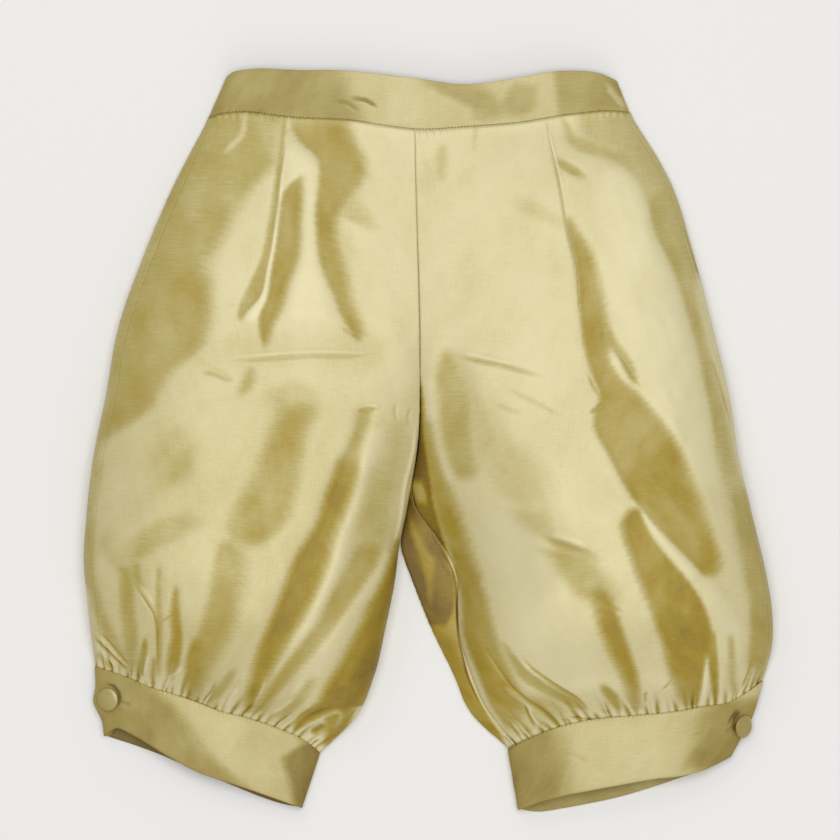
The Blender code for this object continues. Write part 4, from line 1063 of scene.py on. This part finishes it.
def leg_pieces(half, patches, creases):
    """The front and back panel of one leg."""
    made = []
    front = np.array([resampled(front_path(half, down), FRONT_COLUMNS) for down in ROWS])
    back = np.array([resampled(back_path(half, down), BACK_COLUMNS) for down in ROWS])
    tube = np.concatenate([front, back[:, 1:]], axis=1)
    normals = surface_normals(tube) * -half.side
    closed = ROWS >= CROTCH_DOWN
    seam_normal = normals[closed, 0] + normals[closed, -1]
    seam_normal /= np.linalg.norm(seam_normal, axis=1, keepdims=True)
    normals[closed, 0] = normals[closed, -1] = seam_normal
    for kind, part, columns, count in (
        ("front", slice(0, len(FRONT_COLUMNS)), FRONT_COLUMNS, GATHERS_FRONT),
        ("back", slice(len(FRONT_COLUMNS) - 1, None), BACK_COLUMNS, GATHERS_BACK),
    ):
        base, normal = tube[:, part], normals[:, part]
        lift, tone = relief_on(base, patches, creases)
        upward = smooth(normal[..., 2] / 0.4)
        lift, tone = lift * upward, tone * smooth(normal[..., 2] * 4 + 1)
        if kind == "front":
            # a painted highlight on the rim towards the side seam, where the cloth turns down, weaker below the
            # hips
            rim = (1 - smooth(normal[..., 2] / 0.95)) * smooth(columns / 0.3 - 2.0)
            tone -= rim * (RIM_HIGHLIGHT - RIM_HIGHLIGHT_LOSS * smooth(ROWS / 0.2 - 2.0))[:, None]
        run_u, rest_u, run_v, rest_v = edge_runs(base)
        knee = [gathers(columns, float(r), count, 1.0 + half.side) for r in rest_v.mean(1)]
        lift += np.array([g[0] for g in knee])
        tone += np.array([g[1] for g in knee])
        # the cloth is never quite even, puckers along its seams and rises a little below the waist seam
        lift += (0.22 * uneven(base, 52, 1.3 * half.side) + 0.06 * uneven(base, 19, 2.2)) * upward
        lift += pucker(run_u, run_v, 4.6, half.side, 0.42, 2.8) + 0.45 * bell(run_v, 3.0)
        lift += pucker(run_v, run_u, 9.0, 1.4, 0.08) + pucker(run_v, rest_u, 9.0, 2.6, 0.08)
        # the grooves of the seams, and their shade
        lift -= 0.08 * (bell(run_u, 0.7) + bell(rest_u, 0.7))
        lift -= 0.1 * bell(run_v, 0.9) + 0.2 * bell(rest_v, 1.0)
        tone += 0.12 * (bell(run_u, 0.45) + bell(rest_u, 0.45))
        tone += 0.15 * (bell(run_v, 0.7) + bell(rest_v, 1.0))
        if kind == "back":
            lift = np.where(normal[..., 2] < -0.2, np.minimum(lift, np.maximum(base[..., 2], 0)), lift)
        base, normal, lift, tone = sewn_in(base, normal, lift, tone)
        made.append(cloth_shell(f"silk_{kind}_{half.name}", base, normal, lift, CLOTH, tone))
    return made


front_right, back_right = leg_pieces(RIGHT, RIGHT_LEG_PATCHES, RIGHT_LEG_CREASES)
front_left, back_left = leg_pieces(LEFT, LEFT_LEG_PATCHES, LEFT_LEG_CREASES)

# %% [markdown]
# ## Waistband
# A straight band of doubled silk with a stiff facing inside, sewn to the waist edge. It stands a little proud
# of the gathered cloth below it, and its top edge is a fold, so the wall is rounded there. Front and back
# halves meet in the side seams.

# %% Waistband, front and back
BAND = 1.5
BAND_ROWS = np.concatenate([
    [0, 0.004, 0.012, 0.025, 0.045], np.linspace(0.07, 0.93, 25), [0.955, 0.975, 0.988, 0.996, 1.0],
])
WAIST_COLUMNS = 361
WAIST_TONE = 0.22
BACK_TURN = np.concatenate([np.linspace(1, 3, 90), np.linspace(3, 5, 30)[1:]])


def waist_line(height_share, back):
    """One row of the front or back waistband, from the wearer's right side seam to the left."""
    parts = []
    for half in (RIGHT, LEFT):
        if back:
            across, z, lower = back_section(half, 0.0, BACK_TURN)
        else:
            across = eased(90, 1.0, 0.0)
            z, lower = upper_z(half, across, 0.0), 0.0
        plan = waist_plan(half, across, height_share)
        plan[:, 1] -= BACK_WAIST_LOWER * (1 - height_share) * lower
        line = np.column_stack([plan, z])
        parts.append(line if half.side < 0 else line[::-1][1:])
    return np.concatenate(parts)


def waistband(back):
    columns = np.linspace(0, 1, WAIST_COLUMNS)
    grid = np.array([resampled(waist_line(share, back), columns) for share in BAND_ROWS])
    normals = surface_normals(grid)
    if (normals[15, 120, 2] < 0) != back:
        normals = -normals
    lift, tone = relief_on(grid, WAISTBAND_PATCHES, WAISTBAND_CREASES)
    tone += WAIST_TONE
    if back:
        lift, tone = lift * 0, tone * 0
    run_u, rest_u, run_v, rest_v = edge_runs(grid)
    lift += 0.3 + 0.14 * uneven(grid, 38, 4.0) + pucker(run_u, rest_v, 6.0, 0.5, 0.1, 3.0)
    lift -= 0.2 * (bell(run_u, 0.8) + bell(rest_u, 0.8) + bell(rest_v, 0.7))
    # painted shade along the waist seam at the band's lower edge
    tone += 0.2 * bell(rest_v, 0.6)
    lift = np.where(normals[..., 2] < -0.5, np.minimum(lift, grid[..., 2]), lift)
    name = "silk_waistband_back" if back else "silk_waistband_front"
    return cloth_shell(name, grid, normals, lift, BAND, tone)


waist_front, waist_back = waistband(False), waistband(True)

# %% [markdown]
# ## Knee bands
# Each leg ends in a strip of doubled silk round the knee. Its ends lap at the outer side, the front end over
# the back one, and the button closes them. One line runs from the lap's end over the leg, round the inner
# edge, along the table and up beneath the lap, so the band is a single piece as the real one is.

# %% Knee bands
LAP_LENGTH = 20.0
LAP_END_Z = 6.5
LAP_SPACE = 0.4
LAP_EDGE_SPACE = 1.0
UNDER_CLEARANCE = 0.4
BAND_FOLD_Z = 3.0
OVER_POINTS = 60
KNEE_TONE = 0.14
BAND_INSIDE_SHADE = {"right": 1.6, "left": 0.9}


def lap_z(crown, across):
    """The height of a knee band's upper side towards its outer end."""
    along = 2 * np.clip(across, 0.0, 1.0) - 1
    return LAP_END_Z + (crown - LAP_END_Z) * arch(along, OUTER_POWER, 0.6)


def band_line(half, height_share):
    """One row of a knee band, from the lap's end over the leg and back beneath it to under the lap."""
    inner, outer = corners(half, 1.0)
    inner[0] += half.side * 0.4
    near = inner + (np.array(half.hem[0]) - inner) * height_share
    far = outer + (np.array(half.hem[1]) - outer) * height_share
    width = np.linalg.norm(far - near)
    far = far + (far - near) / width * through(LAP_EDGE, "height_share", half.name, height_share)
    crown, inner_z = half.stations[-1].crown, half.stations[-1].inner_z
    over = eased(OVER_POINTS, 1.0, 0.0)
    rise = arch(1 - 2 * over, 2, STEEP_DOME)
    over_z = np.where(over < 0.5, inner_z + (crown - inner_z) * rise, lap_z(crown, over))
    angle = np.linspace(0, math.pi / 2, 14)
    inner_roll, fold_roll = inner_z / width, BAND_FOLD_Z / width
    level = np.linspace(inner_roll, 1 - LAP_EDGE_SPACE / width - fold_roll, 30)
    beneath = np.linspace(1 - LAP_EDGE_SPACE / width, 1 - LAP_LENGTH / width, 20)
    ease = smooth((beneath[0] - beneath) * width / 8.0)
    beneath_z = BAND_FOLD_Z + (lap_z(crown, beneath) - 1.6 - LAP_SPACE - BAND_FOLD_Z) * ease
    across = np.concatenate([
        over, (inner_roll * (1 - np.cos(angle)))[1:], level[1:],
        (level[-1] + fold_roll * np.sin(angle))[1:], beneath[1:],
    ])
    z = np.concatenate([
        over_z, (inner_z * (1 - np.sin(angle)))[1:], np.zeros(29),
        (BAND_FOLD_Z * (1 - np.cos(angle)))[1:], beneath_z[1:],
    ])
    lower = np.concatenate([np.zeros(OVER_POINTS), np.sin(angle)[1:], np.ones(42), 1 - ease[1:]])
    plan = near + (far - near) * across[:, None]
    edges = ("seam", "front_hem", "back_hem")
    seam, front_hem, back_hem = (through(half.knee, "across", edge, across) for edge in edges)
    drop = (back_hem - front_hem) * lower
    clear = UNDER_CLEARANCE * np.concatenate([np.zeros(OVER_POINTS), np.sin(angle)[1:], np.ones(61)])
    plan[:, 1] -= (seam + drop * BACK_DROP + clear) * (1 - height_share)
    plan[:, 1] -= (front_hem + drop - clear) * height_share
    return np.column_stack([plan, z])


def knee_band(half):
    columns = fine_ends(0.006, 331)
    grid = np.array([resampled(band_line(half, share), columns) for share in BAND_ROWS])
    normals = surface_normals(grid) * half.side
    shown = smooth(normals[..., 2] / 0.4)
    lift, tone = relief_on(grid, KNEE_BAND_PATCHES, KNEE_BAND_CREASES)
    run_u, _, run_v, rest_v = edge_runs(grid)
    lift += 0.25 + 0.16 * uneven(grid, 34, 2.0 + half.side) + pucker(run_u, run_v, 3.2, half.side, 0.3, 2.2)
    lift -= 0.3 * bell(run_v, 0.8) + 0.1 * bell(rest_v, 0.8)
    # painted shade: uneven along the knee seam, and along the hem and at the lap's end
    uneven_seam_shade = 0.1 + 0.25 * np.sin(run_u * 2.6 + 2.5 * np.sin(run_u * 0.31))
    tone += KNEE_TONE + uneven_seam_shade * bell(run_v, 1.6) + 0.2 * bell(rest_v, 0.5) + 0.4 * bell(run_u, 0.5)
    # where the band faces down, into its opening, it is painted in brown shade, deepest by the hem
    inside = BAND_INSIDE_SHADE[half.name]
    tone = tone * shown + (1 - shown) * (0.3 + inside * bell(rest_v, 2.0))
    return cloth_shell(f"silk_knee_band_{half.name}", grid, normals, lift * shown, BAND, tone, inside)


band_right, band_left = knee_band(RIGHT), knee_band(LEFT)

# %% [markdown]
# ## Covered buttons
# A covered button is a low metal dome with the garment's own silk drawn over it and clamped under the rim. A
# lathe gives the dome. The silk is never quite even, so the rim has the faint ridges where it was gathered
# under, and the button leans with the lap that it closes.

# %% Buttons in their silk
BUTTON_WIDTH = 15.0
BUTTON_HEIGHT = 3.8
BUTTON_X = {"right": -205.4, "left": 205.5}
BUTTON_SHARE = 0.52
BUTTON_TILT = {"right": 0.22, "left": 0.6}
BUTTON_LIT = {"right": 0.6, "left": 0.5}
BUTTON_SEGMENTS = 72
BUTTON_EDGE_Z = 1.75
BUTTON_RAISED = 0.9


def band_point(half, x, height_share):
    """The point of a knee band's upper side at this x."""
    over = band_line(half, height_share)[:OVER_POINTS]
    order = np.argsort(over[:, 0])
    return np.array([x, *(np.interp(x, over[order, 0], over[order, k]) for k in (1, 2))])


def button_seat(half):
    """Where a button sits on its band and the way that it faces."""
    x = BUTTON_X[half.name]
    spot = band_point(half, x, BUTTON_SHARE)
    inward = band_point(half, x - half.side * BUTTON_WIDTH / 2, BUTTON_SHARE)
    footward = band_point(half, x, BUTTON_SHARE + 0.1)
    normal = Vector(np.cross(inward - spot, footward - spot)).normalized()
    normal = normal if normal.z > 0 else -normal
    return spot, (normal + Vector((half.side * BUTTON_TILT[half.name], 0, 0))).normalized()


def button_profile(radius):
    """Radius and height from the middle of the underside, round the rim, to the top."""
    profile = [(0.0, 0.5), (2.2, 0.5), (radius - 1.6, 0.7), (radius - 0.5, 0.95)]
    for a in np.linspace(-0.35, 1, 26) * math.pi / 2:
        rise = (BUTTON_HEIGHT - BUTTON_EDGE_Z) * math.sin(a) * (1.0 if a > 0 else 0.45)
        profile.append((radius * math.cos(a), BUTTON_EDGE_Z + rise))
    return profile


def covered_button(half):
    spot, normal = button_seat(half)
    profile = button_profile(BUTTON_WIDTH / 2)
    turn = Vector((0, 0, 1)).rotation_difference(normal).to_matrix()
    points, tone, faces = [], [], []
    for ring, (reach, height) in enumerate(profile):
        rim = max(0.0, reach / (BUTTON_WIDTH / 2) - 0.72) / 0.28
        wall = smooth((2.6 - height) / 1.2)
        for s in range(BUTTON_SEGMENTS):
            angle = 2 * math.pi * s / BUTTON_SEGMENTS
            out = reach + 0.11 * rim * math.sin(angle * 17 + 1.2 * math.sin(angle * 3))
            local = Vector((out * math.cos(angle), out * math.sin(angle), height))
            points.append((Vector(spot + SHIFT) + normal * BUTTON_RAISED + turn @ local) * MM)
            # a painted highlight on the rim's lit side and painted shade down the side wall, most on the lit
            # side
            lit = max(0.0, math.cos(angle - BUTTON_LIT[half.name])) ** 2
            tone.append(0.75 + 0.15 * rim - 1.1 * lit * rim * (1 - wall) + (1.0 + 0.4 * lit) * wall)
            if ring:
                b, a = (ring * BUTTON_SEGMENTS + (s + step) % BUTTON_SEGMENTS for step in (0, 1))
                faces.append((b - BUTTON_SEGMENTS, a - BUTTON_SEGMENTS, a, b))
    mesh = bpy.data.meshes.new(f"silk_button_{half.name}")
    mesh.from_pydata(points, [], faces)
    weave_and_tone(mesh, np.array(points)[:, :2], tone)
    print(mesh.name, "faces the way", [round(v, 2) for v in normal])
    return in_scene(mesh.name, mesh)


button_right, button_left = covered_button(RIGHT), covered_button(LEFT)

# %% [markdown]
# ## Silk
# Slubbed silk is woven from a fine even warp and a thick uneven weft. The weft's slubs run along the weave
# map's first axis as short streaks, a little proud of the cloth. The pale sheen is a gloss over a gold
# ground. The tone that the folds left on the cloth is painted sheen and shade: it chooses the ground from a
# ramp, from a painted highlight through olive and gold painted shade to painted brown shade, and dulls the
# gloss where it paints shade. A picture of silk could be wrapped round the cloth instead, but it would blur
# close to and would not follow the folds.

# %% Short names for a finish's nodes
class Wiring:
    """Nodes of one material, each added and joined in one call."""

    def __init__(self, finish):
        self.nodes, self.links = finish.node_tree.nodes, finish.node_tree.links
        self.weave = self.nodes.new("ShaderNodeUVMap")
        self.weave.uv_map = "weave"

    def node(self, kind, inputs, output):
        """A node's output. Each input gets a value or another node's output."""
        node = self.nodes.new(kind)
        for socket, value in inputs.items():
            if isinstance(value, bpy.types.NodeSocket):
                self.links.new(value, node.inputs[socket])
            else:
                node.inputs[socket].default_value = value
        return node.outputs[output]

    def streaks(self, scale, detail, rough=0.55):
        """Noise stretched by scale along the weave map."""
        place = self.node("ShaderNodeMapping", {"Vector": self.weave.outputs["UV"], "Scale": scale}, "Vector")
        noise = {"Vector": place, "Scale": 1.0, "Detail": detail, "Roughness": rough}
        return self.node("ShaderNodeTexNoise", noise, "Fac")

    def ramp(self, source, low, high, from_low, from_high):
        """A value from one range moved to another, held at its ends."""
        ends = {"From Min": from_low, "From Max": from_high, "To Min": low, "To Max": high}
        return self.node("ShaderNodeMapRange", {"Value": source, **ends}, "Result")

    def sum_of(self, *values):
        total = values[0]
        for value in values[1:]:
            total = self.node("ShaderNodeMath", {0: total, 1: value}, "Value")
        return total

    def product(self, first, second):
        result = self.node("ShaderNodeMath", {0: first, 1: second}, "Value")
        result.node.operation = "MULTIPLY"
        return result


# %% The silk's finish
# the ground by tone: a painted highlight at -0.5, the pale silk at 0, olive and deep gold painted shade, brown
# painted shade at 1.6
BRIGHTEST = (-0.5, (222, 214, 176))
CLOTH_GROUND = (
    BRIGHTEST, (0.0, (208, 197, 152)), (0.5, (176, 161, 97)), (1.0, (158, 133, 34)), (1.6, (106, 78, 14)),
)
BAND_GROUND = (
    BRIGHTEST, (0.0, (203, 191, 146)), (0.5, (171, 157, 98)), (1.0, (150, 132, 66)), (1.6, (104, 78, 18)),
)
SLUB_COLOUR = linear(216, 204, 146)
SILK_GLOSS = {
    "IOR": 1.7, "Specular IOR Level": 0.5, "Specular Tint": (1.0, 0.92, 0.58, 1),
    "Sheen Weight": 0.04, "Sheen Roughness": 0.4, "Sheen Tint": (1.0, 0.95, 0.75, 1),
}


def silk_finish(name, grounds, gloss, deep_gloss):
    """Slubbed silk: a gold ground chosen by the painted sheen and shade of the tone, a pale gloss, weft
    streaks.
    """
    finish = new_finish(name, SILK_GLOSS)
    wire = Wiring(finish)
    shader = wire.nodes["Principled BSDF"]
    mark = wire.nodes.new("ShaderNodeAttribute")
    mark.attribute_name = "tone"
    tone = mark.outputs["Fac"]
    slubs, threads = wire.streaks((110, 1900, 1), 4, 0.62), wire.streaks((260, 3400, 1), 2)
    warp, cloudy = wire.streaks((2400, 90, 1), 2), wire.streaks((32, 22, 1), 3)
    rare = wire.ramp(wire.streaks((170, 1200, 1), 2), 0.0, 1.0, 0.68, 0.76)
    # the painted tone is uneven everywhere, more so where it paints dark shade, and ragged along a patch's
    # border
    mixed = wire.sum_of(*(
        wire.ramp(noise, -most, most, 0.3, 0.7) for noise, most in ((slubs, 0.10), (cloudy, 0.09), (warp, 0.06))
    ))
    part = wire.ramp(tone, 0.0, 1.0, 0.22, 0.85)
    border = wire.product(part, wire.ramp(part, 1.0, 0.0, 0.0, 1.0))
    ragged = wire.product(border, wire.ramp(wire.streaks((60, 1100, 1), 3), -0.5, 0.5, 0.25, 0.75))
    patchy = wire.product(part, wire.ramp(cloudy, -0.20, 0.20, 0.3, 0.7))
    depth = wire.sum_of(tone, mixed, ragged, patchy)
    low, high = grounds[0][0], grounds[-1][0]
    at = wire.ramp(depth, 0.0, 1.0, low, high)
    ground = wire.node("ShaderNodeValToRGB", {"Fac": at}, "Color")
    stops = ground.node.color_ramp.elements
    while len(stops) < len(grounds):
        stops.new(0.5)
    for stop, (place, colour) in zip(stops, grounds):
        stop.position = (place - low) / (high - low)
        stop.color = (*linear(*colour), 1)
    slub_light = wire.nodes.new("ShaderNodeMix")
    slub_light.data_type = "RGBA"
    slub_light.inputs["B"].default_value = (*SLUB_COLOUR, 1)
    wire.links.new(ground, slub_light.inputs["A"])
    wire.links.new(wire.product(rare, 0.4), slub_light.inputs["Factor"])
    wire.links.new(slub_light.outputs["Result"], shader.inputs["Base Color"])
    wire.links.new(wire.ramp(depth, gloss, deep_gloss, -0.2, 1.1), shader.inputs["Roughness"])
    shares = ((slubs, 0.35), (threads, 0.3), (rare, 0.4), (warp, 0.2))
    height = wire.sum_of(*(wire.product(source, share) for source, share in shares))
    bump = {"Height": height, "Strength": 0.5, "Distance": 0.0001}
    wire.links.new(wire.node("ShaderNodeBump", bump, "Normal"), shader.inputs["Normal"])
    return finish


silk = silk_finish("gold_silk_cloth", CLOTH_GROUND, 0.30, 0.55)
band_silk = silk_finish("gold_silk_bands", BAND_GROUND, 0.34, 0.55)
button_silk = silk_finish("gold_silk_buttons", BAND_GROUND, 0.34, 0.5)
for pieces, finish in (
    ((front_right, front_left, back_right, back_left), silk),
    ((waist_front, waist_back, band_right, band_left), band_silk), ((button_right, button_left), button_silk),
):
    for piece in pieces:
        piece.data.materials.append(finish)
print("finishes:", silk.name, band_silk.name, button_silk.name)

# %% [markdown]
# ## Stitches
# A sewing machine lays the same stitch again and again along a seam, so a node tree makes them: it takes a
# line, sets a point every pitch, and puts a small thread end on each point. The same tree makes the worked
# buttonholes, whose stitches lie close together across their slit. Stitches could be painted on, but real
# ones catch the light and press into the silk.

# %% A row of stitches as a node tree
def stitch_tree():
    """A node tree that sews along the edges of a mesh. It returns the tree and each input's identifier."""
    tree = bpy.data.node_groups.new("row_of_stitches", "GeometryNodeTree")
    tree.interface.new_socket("Seam", in_out="INPUT", socket_type="NodeSocketGeometry")
    named = {}
    for name, kind, value in (
        ("Pitch", "Float", 0.002), ("Stitch Length", "Float", 0.0013), ("Thread Width", "Float", 0.0004),
        ("Uneven", "Float", 0.12), ("Crosswise", "Float", 0.0),
        ("Cross Direction", "Vector", (0.0, 1.0, 0.0)), ("Seed", "Int", 7), ("Thread", "Material", None),
    ):
        socket = tree.interface.new_socket(name, in_out="INPUT", socket_type="NodeSocket" + kind)
        if value is not None:
            socket.default_value = value
        named[name] = socket.identifier
    tree.interface.new_socket("Stitches", in_out="OUTPUT", socket_type="NodeSocketGeometry")
    nodes, links = tree.nodes, tree.links
    given, result = nodes.new("NodeGroupInput"), nodes.new("NodeGroupOutput")
    curve = nodes.new("GeometryNodeMeshToCurve")
    spots = nodes.new("GeometryNodeCurveToPoints")
    spots.mode = "LENGTH"
    thread_end = nodes.new("GeometryNodeMeshIcoSphere")
    thread_end.inputs["Radius"].default_value = 0.5
    thread_end.inputs["Subdivisions"].default_value = 2
    size = nodes.new("ShaderNodeCombineXYZ")
    vary = nodes.new("FunctionNodeRandomValue")
    low, high = nodes.new("ShaderNodeMath"), nodes.new("ShaderNodeMath")
    low.operation, high.operation = "SUBTRACT", "ADD"
    low.inputs[0].default_value = high.inputs[0].default_value = 1.0
    scaled = nodes.new("ShaderNodeVectorMath")
    scaled.operation = "SCALE"
    aligned = nodes.new("FunctionNodeAlignRotationToVector")
    placed = nodes.new("GeometryNodeInstanceOnPoints")
    real = nodes.new("GeometryNodeRealizeInstances")
    coloured = nodes.new("GeometryNodeSetMaterial")
    size_of, placed_in, spun = size.inputs, placed.inputs, aligned.inputs
    for source, output, socket in (
        (given, "Seam", curve.inputs["Mesh"]), (curve, "Curve", spots.inputs["Curve"]),
        (given, "Pitch", spots.inputs["Length"]), (given, "Thread Width", size_of["X"]),
        (given, "Thread Width", size_of["Y"]), (given, "Stitch Length", size_of["Z"]),
        (given, "Uneven", low.inputs[1]), (given, "Uneven", high.inputs[1]),
        (low, "Value", vary.inputs[2]), (high, "Value", vary.inputs[3]), (given, "Seed", vary.inputs["Seed"]),
        (size, "Vector", scaled.inputs[0]), (vary, 1, scaled.inputs["Scale"]),
        (spots, "Rotation", spun["Rotation"]), (given, "Crosswise", spun["Factor"]),
        (given, "Cross Direction", spun["Vector"]), (spots, "Points", placed_in["Points"]),
        (thread_end, "Mesh", placed_in["Instance"]), (aligned, "Rotation", placed_in["Rotation"]),
        (scaled, "Vector", placed_in["Scale"]), (placed, "Instances", real.inputs["Geometry"]),
        (real, "Geometry", coloured.inputs["Geometry"]), (given, "Thread", coloured.inputs["Material"]),
        (coloured, "Geometry", result.inputs["Stitches"]),
    ):
        links.new(source.outputs[output], socket)
    return tree, named


STITCHES, STITCH_INPUTS = stitch_tree()
print("inputs of the stitches:", list(STITCH_INPUTS))

# %% Sewing along a line
STITCH_FACES = 80
surfaces = {}


def on_cloth(piece, plan, proud=0.1, above=True):
    """Where points of the plan meet a piece, from above or from below, in metres."""
    if piece.name not in surfaces:
        mesh = piece.data
        corners_of = [face.vertices for face in mesh.polygons]
        surfaces[piece.name] = BVHTree.FromPolygons([v.co for v in mesh.vertices], corners_of)
    spots = []
    for x, y in (np.asarray(plan) + SHIFT[:2]) * MM:
        start = Vector((x, y, 0.2 if above else -0.2))
        place, normal, _, _ = surfaces[piece.name].ray_cast(start, Vector((0, 0, -1 if above else 1)))
        if place is not None:
            spots.append(place + normal * proud * MM)
    return spots


def sew(name, lines, settings):
    """A piece of stitches along lines of points in metres."""
    points, edges = [], []
    for line in lines:
        edges += [(len(points) + i, len(points) + i + 1) for i in range(len(line) - 1)]
        points += [tuple(p) for p in line]
    seam_mesh = bpy.data.meshes.new(name + "_line")
    seam_mesh.from_pydata(points, edges, [])
    seam = in_scene(name + "_line", seam_mesh)
    sewing = seam.modifiers.new("sewing", "NODES")
    sewing.node_group = STITCHES
    for key, value in {"Thread": thread, **settings}.items():
        sewing[STITCH_INPUTS[key]] = value
    bpy.context.view_layer.update()
    graph = bpy.context.evaluated_depsgraph_get()
    mesh = bpy.data.meshes.new_from_object(seam.evaluated_get(graph), depsgraph=graph)
    mesh.name = name
    mesh.shade_smooth()
    seam.modifiers.remove(sewing)
    bpy.data.objects.remove(seam)
    print(f"{name}: {len(mesh.polygons) // STITCH_FACES} stitches")
    return in_scene(name, mesh)


# %% Thread and its rows
thread = new_finish("gold_thread", {"Base Color": (*linear(112, 86, 30), 1), "Roughness": 0.5})
pale_thread = new_finish("pale_gold_thread", {"Base Color": (*linear(166, 142, 78), 1), "Roughness": 0.5})
SEAM_STITCH = {"Pitch": 0.0021, "Stitch Length": 0.0013, "Thread Width": 0.00055}
FINE_STITCH = {"Pitch": 0.0018, "Stitch Length": 0.0011, "Thread Width": 0.00032}
SLIT_STITCH = {
    "Pitch": 0.0005, "Stitch Length": 0.0011, "Thread Width": 0.0003, "Crosswise": 1.0, "Thread": pale_thread,
}
waist_rows = []
for back, band in ((False, waist_front), (True, waist_back)):
    row = resampled(waist_line(0.97, back), np.linspace(0.008, 0.992, 300))[:, :2]
    waist_rows.append(on_cloth(band, row, 0.12, above=not back))
CENTRE_STITCHING = (
    (416.6, 225), (418.0, 250), (419.0, 275), (419.8, 300), (420.4, 325), (420.6, 350), (420.0, 380),
    (419.4, 410),
)
DART_STITCHING = (
    (547, 124), (549, 140), (552, 152), (557, 172), (561, 192), (564, 212), (568, 232), (573, 252), (576, 268),
    (577.5, 306),
)
leg_rows = []
for traced in (CENTRE_STITCHING, DART_STITCHING):
    path = on_plan(*np.array(traced).T)
    leg_rows.append(on_cloth(front_left, resampled(path, np.linspace(0, 1, 90))))
waist_stitches = sew("stitches_waist", waist_rows, SEAM_STITCH)
leg_stitches = sew("stitches_front", leg_rows, FINE_STITCH)


# %% Buttonholes, worked by hand
def buttonhole(half, start, end):
    """Close stitches on both sides of a slit in a knee band, between two pixels of the photograph."""
    band = band_right if half.side < 0 else band_left
    start, end = on_plan(*start), on_plan(*end)
    way = (end - start) / np.linalg.norm(end - start)
    across = np.array([-way[1], way[0]])
    slit = start + np.linspace(0, 1, 20)[:, None] * (end - start)
    sides = [on_cloth(band, slit + across * gap, 0.12) for gap in (-0.5, 0.5)]
    return sew(f"buttonhole_{half.name}", sides, {**SLIT_STITCH, "Cross Direction": (*across, 0.0)})


hole_right = buttonhole(RIGHT, (116, 700), (130, 704.5))
hole_left = buttonhole(LEFT, (726, 732), (741, 715))

# %% [markdown]
# ## Every piece in its place
# Each cloth piece stands for one CAD node, which stays in the model for collision, hidden. The silk panels,
# the bands and the buttons are all on the one body. The leg panels were cut wider at the knee than they lie,
# because the gathers take that cloth up.

# %% Riding and replacing
for piece, node in (
    (front_right, "front_panel_right"), (front_left, "front_panel_left"),
    (back_right, "back_panel_right"), (back_left, "back_panel_left"),
    (waist_front, "waistband_front"), (waist_back, "waistband_back"),
    (band_right, "knee_band_right"), (band_left, "knee_band_left"),
    (button_right, "button_right"), (button_left, "button_left"),
):
    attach(piece, "root")
    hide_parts(node)
for piece in (waist_stitches, leg_stitches, hole_right, hole_left):
    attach(piece, "root")
